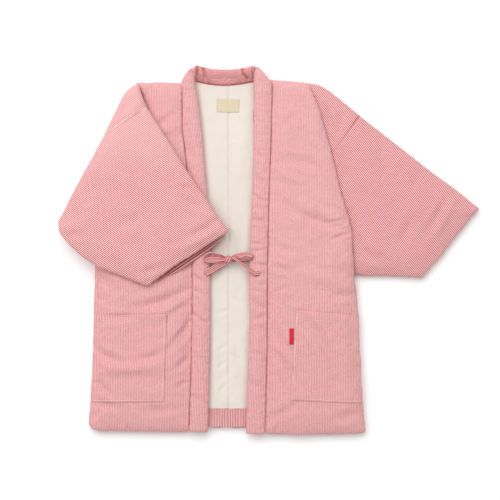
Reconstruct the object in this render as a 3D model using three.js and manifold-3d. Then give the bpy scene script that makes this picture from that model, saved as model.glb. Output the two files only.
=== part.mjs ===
// A padded winter kimono jacket (hanten) of striped cotton, laid flat on its back.
// The left sleeve is turned over the front, the right sleeve is drawn down and comes out
// from under the front, and the two ties are knotted in a bow.
//
// Millimetres, +Z up. The pieces are drawn in the garment's own frame: x = 0 is the centre
// back seam, y = 0 the shoulder fold, -y towards the hem, z = 0 the surface it lies on.
// "Left" and "right" are as seen from above with the collar away from the viewer.

import * as THREE from "three";
import Module from "manifold-3d";

const wasm = await Module();
wasm.setup();

// ---------------------------------------------------------------- driving sizes
const seamGap = 0.3; // between two pieces that are sewn together
const leftLength = 764; // shoulder fold to the left front hem
const rightLength = 769; // the right front lies a little lower
const backLength = 756; // shoulder fold to the back hem
const backPad = 14; // thickness of the padded back
const frontTop = 31; // height of the padded front over the surface
const frontUnder = backPad + seamGap;
const liningThick = 1.2;
const liningTop = backPad + seamGap + liningThick;
const collarUnder = liningTop + seamGap;
const sleeveLength = 331; // armhole seam to cuff, along the fold
const sleevePad = 26; // thickness of a sleeve laid flat: two padded layers
const turnedUnder = 34.8; // underside of the sleeve that is turned over the front
const turnedTop = 59;
const tucked = 50; // how far the right sleeve reaches under the front
const overTuck = 2.7; // room between the tucked sleeve and the front that lies over it
const facingDepth = 36; // outer cloth turned up inside the back hem
// The band behind the neck, between the side bands: from its foot at the neckline to its rim.
const neck = { start: -69.7, end: 53.7, foot: { y: 7.2, z: 14 }, rim: { y: 29, z: 33 }, half: 7 };
const tieThick = 2.4;
const pocket = { fromY: -502, toY: -700, thick: 2.2 }; // top and bottom of both pockets
const pocketColumns = { first: 2, last: 10 }; // columns of a front's points that a pocket lies on
const label = { x: -1.5, y: -49, wide: 50, long: 29, thick: 0.8, turn: -0.02 };
const tab = { fromY: -540, toY: -574, nearShare: 0.02, farShare: 0.5, thick: 1.2 };

const cotton = { color: 0xe2a3a3, roughness: 0.9, metalness: 0 };
const cream = { color: 0xeae2d6, roughness: 0.9, metalness: 0 };
const labelCloth = { color: 0xf0e6d0, roughness: 0.85, metalness: 0 };
const tabCloth = { color: 0xc02233, roughness: 0.8, metalness: 0 };

// ---------------------------------------------------------------- cut tables
// Left side of the body from shoulder to hem.
const leftSide = [
  { y: 0, x: -197 },
  { y: -60, x: -182 },
  { y: -106, x: -203 },
  { y: -200, x: -254 },
  { y: -280, x: -297 },
  { y: -392, x: -296 },
  { y: -541, x: -297 },
  { y: -647, x: -301 },
  { y: -717, x: -306 },
  { y: -748, x: -304 },
  { y: -766, x: -297 },
];

// Right edge of the front: a soft fold down to the underarm, then the side seam.
const rightFold = [
  { y: 0, x: 176 },
  { y: -44, x: 198 },
  { y: -150, x: 228 },
  { y: -238, x: 249 },
  { y: -325, x: 274 },
  { y: -418, x: 277 },
  { y: -475, x: 284 },
  { y: -541, x: 288 },
  { y: -634, x: 293 },
  { y: -700, x: 297 },
  { y: -748, x: 301 },
  { y: -766, x: 300 },
];

// Right edge of the back, which stops where the tucked sleeve begins.
const rightBack = [
  { y: 0, x: 126 },
  { y: -44, x: 146 },
  { y: -150, x: 176 },
  { y: -238, x: 198 },
  { y: -325, x: 216 },
  { y: -396, x: 214 },
  { y: -432, x: 276 },
  { y: -475, x: 283 },
  { y: -634, x: 292 },
  { y: -717, x: 298 },
  { y: -750, x: 297 },
];

// Collar band beside the fronts: its seam to the front and its free inner edge.
const leftBand = [
  { y: 37, seam: -79, inner: -72, under: 18, top: 34 },
  { y: 31, seam: -86, inner: -71.5, under: 14, top: 38 },
  { y: 18, seam: -92, inner: -70.5, under: 12.5, top: 40 },
  { y: 8, seam: -98, inner: -70, under: 14.5, top: 40 },
  { y: 0, seam: -102, inner: -69.5, under: collarUnder, top: 39 },
  { y: -30, seam: -102, inner: -67, under: collarUnder, top: 36 },
  { y: -108, seam: -101, inner: -58, under: collarUnder, top: 34.2 },
  { y: -182, seam: -92, inner: -52, under: collarUnder, top: 34.2 },
  { y: -251, seam: -87, inner: -46, under: collarUnder, top: 34.2 },
  { y: -330, seam: -83, inner: -42, under: collarUnder, top: 34.2 },
  { y: -424, seam: -80, inner: -40, under: collarUnder, top: 34.2 },
  { y: -519, seam: -80, inner: -39.6, under: collarUnder, top: 34.2 },
  { y: -607, seam: -82, inner: -41.8, under: collarUnder, top: 34.2 },
  { y: -700, seam: -85, inner: -43, under: collarUnder, top: 34.2 },
  { y: -766, seam: -87, inner: -45, under: collarUnder, top: 33 },
];
const rightBand = [
  { y: 37, seam: 65, inner: 57, under: 18, top: 34 },
  { y: 31, seam: 69, inner: 54.5, under: 14, top: 38 },
  { y: 18, seam: 78, inner: 54.2, under: 12.5, top: 40 },
  { y: 8, seam: 87, inner: 54, under: 14.5, top: 40 },
  { y: 0, seam: 95, inner: 54, under: collarUnder, top: 39 },
  { y: -30, seam: 95, inner: 55, under: collarUnder, top: 36 },
  { y: -108, seam: 94, inner: 54.5, under: collarUnder, top: 34.2 },
  { y: -182, seam: 91, inner: 53.5, under: collarUnder, top: 34.2 },
  { y: -251, seam: 88.7, inner: 51.5, under: collarUnder, top: 34.2 },
  { y: -330, seam: 87, inner: 47, under: collarUnder, top: 34.2 },
  { y: -424, seam: 85.5, inner: 44, under: collarUnder, top: 34.2 },
  { y: -519, seam: 85, inner: 46, under: collarUnder, top: 34.2 },
  { y: -607, seam: 84.5, inner: 43, under: collarUnder, top: 34.2 },
  { y: -700, seam: 82, inner: 39.5, under: collarUnder, top: 34.2 },
  { y: -766, seam: 80, inner: 37.4, under: collarUnder, top: 33 },
];

// Depth of a sleeve below its top fold, from the armhole seam (u = 0) to the cuff.
const sleeveCut = [
  { u: 0, depth: 302 },
  { u: 120, depth: 303 },
  { u: 186, depth: 293 },
  { u: 223, depth: 277 },
  { u: 262, depth: 246 },
  { u: 331, depth: 197 },
];

// The left sleeve turned over the front: each row runs from its outer edge to its top fold.
const turnedRows = [
  { outerX: -271, outerY: -112, foldX: -177, foldY: -56 },
  { outerX: -298, outerY: -162, foldX: -150, foldY: -99 },
  { outerX: -323, outerY: -206, foldX: -127, foldY: -134 },
  { outerX: -349, outerY: -254, foldX: -105, foldY: -170 },
  { outerX: -370, outerY: -302, foldX: -84, foldY: -203 },
  { outerX: -366, outerY: -335, foldX: -65, foldY: -230 },
  { outerX: -345, outerY: -361, foldX: -50, foldY: -252 },
  { outerX: -318, outerY: -385, foldX: -34, foldY: -276 },
  { outerX: -284, outerY: -406, foldX: -20, foldY: -298 },
  { outerX: -237, outerY: -424, foldX: -9, foldY: -314 },
  { outerX: -176, outerY: -449, foldX: 0, foldY: -328 },
];
// The corner of the body that is turned over with it, from the shoulder to the armhole seam.
const turnedCornerRows = [
  { outerX: -204, outerY: -3, foldX: -197, foldY: -4 },
  { outerX: -221, outerY: -15, foldX: -193, foldY: -18 },
  { outerX: -231, outerY: -29, foldX: -189, foldY: -29 },
  { outerX: -243, outerY: -55, foldX: -184, foldY: -40 },
  { outerX: -258, outerY: -86, foldX: -179, foldY: -50 },
  { outerX: -270.5, outerY: -111.2, foldX: -176.7, foldY: -55.4 },
];
// Edge of the layers that lie under the turned sleeve, on the surface.
const turnedEdge = [
  { y: -3, x: -204 },
  { y: -15, x: -221 },
  { y: -29, x: -231 },
  { y: -55, x: -243 },
  { y: -112, x: -271 },
  { y: -206, x: -322 },
  { y: -302, x: -369 },
  { y: -322, x: -368 },
  { y: -340, x: -356 },
  { y: -358, x: -338 },
  { y: -376, x: -316 },
  { y: -386, x: -302 },
];
const foldRows = 4.4; // the outer edge is the fold as far as here, then the sleeve's own lower edge
const rowStep = 36; // usual distance between rows, for the seam and the cuff
// The open cuff: half the height of the slit at distances out of the sleeve.
const mouthCut = [
  { out: 1, half: 4.5 },
  { out: -8, half: 1.8 },
  { out: -70, half: 1.2 },
];
const edgeRound = 15; // rounding of the sleeves' edges
const foldRound = 30; // rounding of the big fold
const cuffRound = 12;

// Soft folds of the fronts: a ridge (or trough, if the rise is negative) from one end to the other.
const frontFolds = [
  { x1: 120, y1: -232, x2: 250, y2: -300, width: 26, rise: 3.2 },
  { x1: 128, y1: -290, x2: 262, y2: -352, width: 26, rise: 3.6 },
  { x1: 110, y1: -262, x2: 256, y2: -326, width: 18, rise: -3.0 },
  { x1: 130, y1: -600, x2: 190, y2: -690, width: 26, rise: 2.6 },
  { x1: -290, y1: -625, x2: -120, y2: -612, width: 30, rise: 3.6 },
  { x1: -286, y1: -584, x2: -130, y2: -590, width: 22, rise: -3.4 },
  { x1: -140, y1: -560, x2: -86, y2: -500, width: 22, rise: 3.0 },
  { x1: -250, y1: -468, x2: -110, y2: -448, width: 28, rise: 3.0 },
];

// Ribbons of the bow. tilt is 0 where the ribbon lies flat and 90 where it stands on edge.
const bowKnot = { x: -0.5, y: -388.5, z: 38, long: 17, wide: 15, high: 14 };
const bow = {
  tie_loop_left: [
    { x: -8.9, y: -386, z: 41, width: 7, tilt: 48 },
    { x: -18, y: -379.5, z: 42, width: 9, tilt: 50 },
    { x: -30, y: -375, z: 42.6, width: 11, tilt: 54 },
    { x: -43, y: -373.5, z: 43, width: 12, tilt: 62 },
    { x: -50, y: -380, z: 43, width: 12, tilt: 72 },
    { x: -49, y: -388.5, z: 42.6, width: 13, tilt: 58 },
    { x: -38, y: -393, z: 42, width: 13, tilt: 46 },
    { x: -24, y: -393, z: 41, width: 10, tilt: 48 },
    { x: -8.9, y: -390.5, z: 40, width: 7, tilt: 50 },
  ],
  tie_loop_right: [
    { x: 7.7, y: -386, z: 41, width: 7, tilt: 48 },
    { x: 19, y: -379.5, z: 42, width: 9, tilt: 52 },
    { x: 31, y: -376, z: 42.6, width: 10, tilt: 58 },
    { x: 44, y: -375, z: 43, width: 11, tilt: 64 },
    { x: 52.5, y: -380, z: 43, width: 11, tilt: 72 },
    { x: 48, y: -387, z: 42.6, width: 12, tilt: 60 },
    { x: 37, y: -390, z: 42, width: 12, tilt: 52 },
    { x: 22, y: -390.5, z: 41, width: 9, tilt: 48 },
    { x: 8.2, y: -389.5, z: 40, width: 7, tilt: 50 },
  ],
  tie_tail_left: [
    { x: -6.4, y: -394.6, z: 34.4, width: 8, tilt: 20 },
    { x: -20, y: -402.5, z: 34.6, width: 12, tilt: 10 },
    { x: -36, y: -411, z: 35.2, width: 13, tilt: 4 },
    { x: -50, y: -417.5, z: 35.7, width: 13, tilt: 0 },
  ],
  tie_tail_right: [
    { x: 6.4, y: -393.1, z: 34.8, width: 7, tilt: 50 },
    { x: 18, y: -400, z: 35, width: 9, tilt: 56 },
    { x: 30, y: -407, z: 36.4, width: 11, tilt: 52 },
    { x: 43, y: -414.5, z: 39.4, width: 12, tilt: 40 },
    { x: 55, y: -420.5, z: 37.2, width: 12, tilt: 18 },
    { x: 67, y: -419.5, z: 35.9, width: 12, tilt: 0 },
  ],
  tie_root_left: [
    { x: -40.3, y: -391, z: 25, width: 11, tilt: 8 },
    { x: -24, y: -390.5, z: 25.4, width: 10, tilt: 6 },
    { x: -4, y: -389, z: 30.3, width: 8, tilt: 0 },
  ],
  tie_root_right: [
    { x: 44.4, y: -389, z: 25, width: 11, tilt: 8 },
    { x: 28, y: -389.5, z: 25.4, width: 10, tilt: 6 },
    { x: 3, y: -389, z: 30.3, width: 8, tilt: 0 },
  ],
};

// ---------------------------------------------------------------- helpers
// Value of a column of a table at a place along it, on straight lines between rows.
function read(table, along, column, place) {
  const up = table[0][along] < table[table.length - 1][along];
  const rows = up ? table : [...table].reverse();
  if (place <= rows[0][along]) return rows[0][column];
  for (let i = 1; i < rows.length; i++) {
    const a = rows[i - 1];
    const b = rows[i];
    if (place <= b[along]) {
      const share = (place - a[along]) / (b[along] - a[along]);
      return a[column] + (b[column] - a[column]) * share;
    }
  }
  return rows[rows.length - 1][column];
}

// Share of the full height at a distance from a rounded edge.
function rise(distance, radius) {
  if (radius <= 0) return 1;
  const left = 1 - Math.min(Math.max(distance / radius, 0), 1);
  return Math.sqrt(1 - left * left);
}

// Distances across a row: close together beside both ends, even between them.
function stations(length, fromStart, between, fromEnd) {
  const first = fromStart[fromStart.length - 1];
  const squeeze = Math.min(1, length / (1.5 * (first + fromEnd[0])));
  const start = fromStart.map((d) => d * squeeze);
  const end = fromEnd.map((d) => length - d * squeeze);
  const middle = [];
  for (let i = 1; i < between; i++) middle.push(first * squeeze + ((end[0] - first * squeeze) * i) / between);
  return [...start, ...middle, ...end];
}

// Height that the soft folds add at a point of a front.
function foldHeight(x, y) {
  let height = 0;
  for (const f of frontFolds) {
    const alongX = f.x2 - f.x1;
    const alongY = f.y2 - f.y1;
    const length = Math.hypot(alongX, alongY);
    const along = ((x - f.x1) * alongX + (y - f.y1) * alongY) / length;
    const across = ((x - f.x1) * alongY - (y - f.y1) * alongX) / length;
    const share = Math.min(Math.max(along / length, 0), 1);
    const past = Math.abs(along - share * length);
    const ends = Math.sin(Math.PI * (0.12 + 0.76 * share));
    height += f.rise * ends * Math.exp(-(across ** 2 + past ** 2) / (f.width / 1.7) ** 2);
  }
  return height;
}

// Turns a triangle list round if its faces point inwards.
function facingOut(position, index) {
  let volume = 0;
  const at = (i) => new THREE.Vector3().fromArray(position, 3 * index[i]);
  for (let i = 0; i < index.length; i += 3) volume += at(i).dot(at(i + 1).cross(at(i + 2)));
  if (volume < 0) {
    for (let i = 0; i < index.length; i += 3) {
      [index[i + 1], index[i + 2]] = [index[i + 2], index[i + 1]];
    }
  }
  return new THREE.BufferGeometry()
    .setAttribute("position", new THREE.Float32BufferAttribute(position, 3))
    .setIndex(index);
}

// A closed wall between an upper and a lower skin on one grid of points { x, y, top, under }.
function wall(grid) {
  const rows = grid.length;
  const columns = grid[0].length;
  const position = [];
  for (const skin of ["top", "under"]) {
    for (const row of grid) for (const p of row) position.push(p.x, p.y, p[skin]);
  }
  const upper = (i, j) => i * columns + j;
  const lower = (i, j) => rows * columns + upper(i, j);
  const index = [];
  const quad = (a, b, c, d) => index.push(a, b, c, a, c, d);
  for (let i = 0; i + 1 < rows; i++) {
    for (let j = 0; j + 1 < columns; j++) {
      quad(upper(i, j), upper(i, j + 1), upper(i + 1, j + 1), upper(i + 1, j));
      quad(lower(i, j), lower(i + 1, j), lower(i + 1, j + 1), lower(i, j + 1));
    }
    quad(upper(i, 0), upper(i + 1, 0), lower(i + 1, 0), lower(i, 0));
    quad(upper(i + 1, columns - 1), upper(i, columns - 1), lower(i, columns - 1), lower(i + 1, columns - 1));
  }
  for (let j = 0; j + 1 < columns; j++) {
    quad(upper(0, j + 1), upper(0, j), lower(0, j), lower(0, j + 1));
    quad(upper(rows - 1, j), upper(rows - 1, j + 1), lower(rows - 1, j + 1), lower(rows - 1, j));
  }
  return facingOut(position, index);
}

// A closed solid through rings of points, all with the same number of points.
function throughRings(rings) {
  const around = rings[0].length;
  const position = rings.flat().flatMap((p) => [p.x, p.y, p.z]);
  const index = [];
  for (let i = 0; i + 1 < rings.length; i++) {
    for (let j = 0; j < around; j++) {
      const next = (j + 1) % around;
      const a = i * around + j;
      const b = i * around + next;
      index.push(a, b, b + around, a, b + around, a + around);
    }
  }
  const last = (rings.length - 1) * around;
  for (let j = 1; j + 1 < around; j++) {
    index.push(0, j + 1, j, last, last + j, last + j + 1);
  }
  return facingOut(position, index);
}

// Cuts one closed geometry out of another.
function cutOut(body, tool) {
  const solid = (geometry) =>
    new wasm.Manifold(
      new wasm.Mesh({
        numProp: 3,
        vertProperties: new Float32Array(geometry.getAttribute("position").array),
        triVerts: new Uint32Array(geometry.getIndex().array),
      }),
    );
  const made = solid(body).subtract(solid(tool)).getMesh();
  return new THREE.BufferGeometry()
    .setAttribute("position", new THREE.Float32BufferAttribute(made.vertProperties, 3))
    .setIndex(Array.from(made.triVerts));
}

// ---------------------------------------------------------------- body
const nearEdge = [0, 2, 6, 13, 24]; // distances from a rounded edge
const nearSeam = [9, 3, 0]; // distances from a plain seam
const bodyRows = [
  0, -2, -7, -16, -30, -60, -106, -150, -200, -238, -268, -298, -328, -360, -396, -427, -450, -475, -503, -541, -573,
  -600, -620, -660, -699, -725,
];
const nearHem = [14, 5, 1.5, 0]; // distances above a hem
const toHem = (length) => [...bodyRows, ...nearHem.map((d) => d - length)];

function backHalf(side, table) {
  return wall(
    toHem(backLength).map((y) => {
      const edge = read(table, "y", "x", y);
      const width = Math.abs(edge) - seamGap / 2;
      return stations(width, nearEdge, 3, nearSeam).map((d) => ({
        x: side * (Math.abs(edge) - d),
        y,
        top: backPad,
        under: (backPad - 3) * (1 - rise(d, 24) * rise(-y, 16) * rise(backLength + y, 14)),
      }));
    }),
  );
}

// Points of a front panel, from its side edge to the seam of the band.
function frontGrid(side, length, edgeTable, band, under) {
  return toHem(length).map((y) => {
    const edge = read(edgeTable, "y", "x", y);
    const seam = read(band, "y", "seam", y) + side * seamGap;
    const width = Math.abs(edge - seam);
    return stations(width, nearEdge, 6, [58, 40, 24, 12, 4, 0]).map((d) => {
      const x = edge - side * d;
      const full = rise(d, 26) * rise(-y, 18) * rise(length + y, 18);
      const seamDip = 0.55 + 0.45 * rise(width - d, 12);
      const low = under(x, y);
      return {
        x,
        y,
        under: low,
        top: low + 2 + (frontTop - frontUnder - 2) * full * seamDip + foldHeight(x, y) * full * seamDip,
      };
    });
  });
}

// Share of its full height that the tucked sleeve has reached: 0 at the back's edge, 1 at the fold.
function climb(x, y) {
  const fade = Math.min(Math.max((y + 455) / 28, 0), 1);
  const inside = (x - read(rightBack, "y", "x", y)) / tucked;
  return fade * Math.min(Math.max(inside, 0), 1);
}

// The front's underside climbs over the tucked sleeve beside its right fold.
const overTuckedSleeve = (x, y) => frontUnder + (sleevePad + overTuck - frontUnder) * climb(x, y);
const tuckedTop = (x, y) => backPad - 1 + (sleevePad - backPad + 1) * climb(x, y);

// ---------------------------------------------------------------- sleeves
// Right sleeve: u runs along it from the armhole seam, v down from its top fold.
const armholeTop = new THREE.Vector2(289, -70);
const alongSleeve = new THREE.Vector2(0.788, -0.6157);
const downSleeve = new THREE.Vector2(-0.6157, -0.788);
const onRightSleeve = (u, v) => armholeTop.clone().addScaledVector(alongSleeve, u).addScaledVector(downSleeve, v);

// How far a row of the right sleeve goes down before it meets the edge of the back.
function depthToBack(u, from, to) {
  for (let v = from; v < to; v += 0.5) {
    const p = onRightSleeve(u, v);
    if (p.x < read(rightBack, "y", "x", p.y) + seamGap + 1) return v;
  }
  return to;
}

// Rows of what goes down with the right sleeve; each ends at its own lower edge or at the back.
function loweredRows(rows) {
  return rows.map(({ u, from, to, ends }) => {
    const depth = depthToBack(u, from, to) - from;
    const met = depth < to - from;
    return stations(depth, nearEdge, 6, [24, 13, 6, 2, 0]).map((d) => {
      const { x, y } = onRightSleeve(u, from + d);
      const upper = rise(d, edgeRound) * (met ? 1 : rise(depth - d, edgeRound)) * ends;
      const crown = tuckedTop(x, y) / 2;
      return { x, y, top: crown + 1 + (crown - 1) * upper, under: (crown - 1) * (1 - upper) };
    });
  });
}

function rightSleeve() {
  const us = [seamGap, 2, 6, 20, 45, 70, 99, 121, 142, 165, 186, 205, 223, 262, 295, 316, 325, 330, sleeveLength];
  const slit = mouthCut.map(({ out, half }) => {
    const depth = read(sleeveCut, "u", "depth", sleeveLength + out);
    return [9, depth / 2, depth - 9].map((v) => {
      const p = onRightSleeve(sleeveLength + out, v);
      return { x: p.x, y: p.y, top: sleevePad / 2 + half, under: sleevePad / 2 - half };
    });
  });
  const rows = us.map((u) => ({
    u,
    from: 0,
    to: read(sleeveCut, "u", "depth", u),
    ends: (0.9 + 0.1 * rise(u, 6)) * rise(sleeveLength - u, cuffRound),
  }));
  return cutOut(wall(loweredRows(rows)), wall(slit));
}

// The corner of the body that goes down with the right sleeve, as far as the armhole seam.
function rightShoulderTurn() {
  const us = [0, 2, 6, 20, 55, 90, 110, 126, 138, 146, 150];
  const rows = us.map((inwards) => ({
    u: -inwards - seamGap,
    from: Math.max(0, (inwards - 106) * 0.45),
    to: 400,
    ends: (0.9 + 0.1 * rise(inwards, 6)) * rise(150 - inwards, 14),
  }));
  return wall(loweredRows(rows));
}

// Skins of the turned left sleeve at a point, from its distances to the edges around it.
function turnedPoint(x, y, from) {
  const mid = (turnedUnder + turnedTop) / 2;
  const inner = rise(from.fold, edgeRound);
  const side = from.folded ? 1 : rise(from.outer, edgeRound);
  const drop = from.folded ? (turnedTop - turnedUnder - 2) * (1 - rise(from.outer, foldRound)) : 0;
  const ends = rise(from.cuff, cuffRound) * (0.8 + 0.2 * rise(from.seam, 6));
  const lower = from.folded ? inner : inner * side * rise(from.cuff, cuffRound);
  return {
    x,
    y,
    top: mid + 1 + (turnedTop - drop - mid - 1) * inner * side * ends,
    under: mid - 1 - (mid - 1 - turnedUnder) * lower,
  };
}

// Both ends of a row of the turned sleeve, at a place between the rows of its table.
function turnedRow(place) {
  const i = Math.min(Math.floor(place), turnedRows.length - 2);
  const mix = (column) => turnedRows[i][column] + (turnedRows[i + 1][column] - turnedRows[i][column]) * (place - i);
  const outer = new THREE.Vector2(mix("outerX"), mix("outerY"));
  const fold = new THREE.Vector2(mix("foldX"), mix("foldY"));
  return { outer, fold, width: outer.distanceTo(fold) };
}

function leftSleeve() {
  const last = turnedRows.length - 1;
  const halves = Array.from({ length: 2 * last - 1 }, (_, i) => (i + 1) / 2);
  const places = [0, 0.12, 0.3, ...halves, last - 0.3, last - 0.12, last];
  const grid = places.map((place) => {
    const { outer, fold, width } = turnedRow(place);
    const folded = place < foldRows;
    const spread = folded ? 1.5 : 1; // the big fold is rounder than the free edge
    const near = [0, 3, 8, 18, 32].map((d) => d * Math.min(spread, width / 80));
    return stations(width, near, 6, [18, 8, 3, 0]).map((d) => {
      const p = outer.clone().lerp(fold, d / width);
      const from = { outer: d / spread, fold: width - d, seam: place * rowStep, cuff: (last - place) * rowStep, folded };
      return turnedPoint(p.x, p.y, from);
    });
  });
  const end = turnedRow(last);
  const along = end.fold.clone().sub(end.outer).normalize();
  const outwards = new THREE.Vector2(along.y, -along.x);
  const mid = (turnedUnder + turnedTop) / 2;
  const slit = mouthCut.map(({ out, half }) =>
    [12, end.width / 2, end.width - 12].map((d) => {
      const p = end.outer.clone().addScaledVector(along, d).addScaledVector(outwards, out);
      return { x: p.x, y: p.y, top: mid + half, under: mid - half };
    }),
  );
  return cutOut(wall(grid), wall(slit));
}

// The corner of the body that is turned over with the left sleeve.
function leftShoulderTurn() {
  const last = turnedCornerRows.length - 1;
  return wall(
    turnedCornerRows.map((row, i) => {
      const width = Math.hypot(row.foldX - row.outerX, row.foldY - row.outerY);
      const lift = Math.min(1, 0.25 + i / 3);
      const atSeam = i === last ? 0.9 : 1;
      return stations(width, [0, 4, 10, 20, 34], 3, [18, 8, 3, 0]).map((d) => {
        const share = d / width;
        const full = rise(d, foldRound) * rise(width - d, edgeRound) * lift * atSeam;
        return {
          x: row.outerX + (row.foldX - row.outerX) * share,
          y: row.outerY + (row.foldY - row.outerY) * share,
          under: turnedUnder,
          top: turnedUnder + 2 + (turnedTop - turnedUnder - 2) * full,
        };
      });
    }),
  );
}

// The layers of the left sleeve and shoulder under the fold, down to the surface.
function leftSleeveUnder() {
  const first = turnedEdge[0].y;
  const last = turnedEdge[turnedEdge.length - 1].y;
  const ys = [first, ...bodyRows.filter((y) => y < first && y > last), last + 8, last];
  return wall(
    ys.map((y) => {
      const outer = read(turnedEdge, "y", "x", y);
      const width = read(leftSide, "y", "x", y) - 0.8 - outer;
      const ends = Math.min(1, 0.35 + (first - y) / 60) * rise(y - last, 20);
      return stations(width, nearEdge, 2, [8, 0]).map((d) => ({
        x: outer + d,
        y,
        top: turnedUnder - 0.4,
        under: (turnedUnder - 5) * (1 - rise(d, 26) * ends),
      }));
    }),
  );
}

// ---------------------------------------------------------------- collar
// Points round an oval of half width and half height 1; a lower power makes it squarer.
function ovalRing(around, power) {
  const squared = (c) => Math.sign(c) * Math.abs(c) ** power;
  return Array.from({ length: around }, (_, i) => {
    const turn = (2 * Math.PI * i) / around;
    return { out: squared(Math.cos(turn)), side: squared(Math.sin(turn)) };
  });
}

function frontBand(table, length) {
  const past = table.filter((row) => row.y > 0).map((row) => row.y);
  const rings = [...past, ...toHem(length)].map((y) => {
    const end = 0.55 + 0.45 * rise(length + y, 12);
    const under = read(table, "y", "under", y);
    const top = read(table, "y", "top", y);
    const high = ((top - under) / 2) * end;
    const seam = read(table, "y", "seam", y);
    const inner = read(table, "y", "inner", y);
    const wide = Math.abs(seam - inner) / 2;
    return ovalRing(10, 0.6).map(
      ({ out, side }) => new THREE.Vector3((seam + inner) / 2 + wide * out, y, (top + under) / 2 + high * side),
    );
  });
  return throughRings(rings);
}

// The band behind the neck leans back from the neckline, its inner face showing.
function neckBand() {
  const { start, end, foot, rim, half } = neck;
  const lean = new THREE.Vector2(rim.y - foot.y, rim.z - foot.z);
  const long = lean.length() / 2 + 0.8 * half;
  lean.normalize();
  const steps = 12;
  const rings = Array.from({ length: steps + 1 }, (_, i) => {
    const sag = Math.sin((Math.PI * i) / steps);
    const middle = new THREE.Vector2((foot.y + rim.y - sag) / 2, (foot.z + rim.z - 3 * sag) / 2);
    return ovalRing(12, 0.7).map(({ out, side }) => {
      const y = middle.x + lean.x * out * long - lean.y * side * half;
      const z = middle.y + lean.y * out * long + lean.x * side * half;
      return new THREE.Vector3(start + ((end - start) * i) / steps, y, z);
    });
  });
  return throughRings(rings);
}

// ---------------------------------------------------------------- lining, facing, pockets, labels
function insideStrip(side, band, fromY, toY) {
  const steps = Math.max(2, Math.round((fromY - toY) / 60));
  return wall(
    Array.from({ length: steps + 1 }, (_, i) => {
      const y = fromY + ((toY - fromY) * i) / steps;
      const edge = read(band, "y", "inner", y) + side * 14;
      const width = Math.abs(edge) - seamGap / 2;
      return [0, 0.25, 0.5, 0.75, 1].map((part) => ({
        x: edge - side * width * part,
        y,
        top: liningTop,
        under: backPad + seamGap,
      }));
    }),
  );
}

// A patch pocket from the points of the front that it lies on, moved out.
function pocketOn(grid) {
  const rows = grid.filter((row) => row[0].y <= pocket.fromY && row[0].y >= pocket.toY);
  return wall(
    rows.map((row) =>
      row.slice(pocketColumns.first, pocketColumns.last + 1).map((p) => ({
        x: p.x,
        y: p.y,
        under: p.top + seamGap,
        top: p.top + seamGap + pocket.thick,
      })),
    ),
  );
}

// A woven label, flat on the lining.
function neckLabel() {
  return new THREE.BoxGeometry(label.wide, label.long, label.thick)
    .rotateZ(label.turn)
    .translate(label.x, label.y, liningTop + seamGap + label.thick / 2);
}

// The tab is caught in the pocket's seam and lies on the front beside it.
function sideTab(grid) {
  const rows = grid.filter((row) => row[0].y <= tab.fromY && row[0].y >= tab.toY);
  return wall(
    [0, 1].map((end) => {
      const row = rows[end * (rows.length - 1)];
      const [a, b] = [row[pocketColumns.last], row[pocketColumns.last + 1]];
      return [tab.nearShare, tab.farShare].map((share) => {
        const top = a.top + (b.top - a.top) * share;
        return { x: a.x + (b.x - a.x) * share, y: row[0].y, under: top + seamGap, top: top + seamGap + tab.thick };
      });
    }),
  );
}

// ---------------------------------------------------------------- ties
function ribbon(rows) {
  const path = new THREE.CatmullRomCurve3(rows.map((r) => new THREE.Vector3(r.x, r.y, r.z)));
  const steps = (rows.length - 1) * 3;
  const up = new THREE.Vector3(0, 0, 1);
  const rings = Array.from({ length: steps + 1 }, (_, i) => {
    const place = (i / steps) * (rows.length - 1);
    const k = Math.min(Math.floor(place), rows.length - 2);
    const mix = (column) => rows[k][column] + (rows[k + 1][column] - rows[k][column]) * (place - k);
    const t = i / steps;
    const centre = path.getPoint(t);
    const tangent = path.getTangent(t);
    const level = new THREE.Vector3().crossVectors(tangent, up).normalize();
    const lean = THREE.MathUtils.degToRad(mix("tilt"));
    const across = level.clone().multiplyScalar(Math.cos(lean)).addScaledVector(up, Math.sin(lean));
    across.addScaledVector(tangent, -across.dot(tangent)).normalize();
    const outward = new THREE.Vector3().crossVectors(across, tangent).normalize();
    const corner = (a, b) =>
      centre
        .clone()
        .addScaledVector(across, (a * mix("width")) / 2)
        .addScaledVector(outward, (b * tieThick) / 2);
    return [corner(-1, -0.7), corner(0, -1), corner(1, -0.7), corner(1, 0.7), corner(0, 1), corner(-1, 0.7)];
  });
  return throughRings(rings);
}

function knot() {
  return new THREE.SphereGeometry(0.5, 14, 10)
    .scale(bowKnot.long, bowKnot.wide, bowKnot.high)
    .translate(bowKnot.x, bowKnot.y, bowKnot.z);
}

// ---------------------------------------------------------------- assembly
const garment = new THREE.Group();

function add(name, geometry, look) {
  const mesh = new THREE.Mesh(geometry, new THREE.MeshStandardMaterial(look));
  mesh.name = name;
  garment.add(mesh);
}

const leftGrid = frontGrid(-1, leftLength, leftSide, leftBand, () => frontUnder);
const rightGrid = frontGrid(1, rightLength, rightFold, rightBand, overTuckedSleeve);
const facingFrom = -backLength + 2 + facingDepth;

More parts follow.
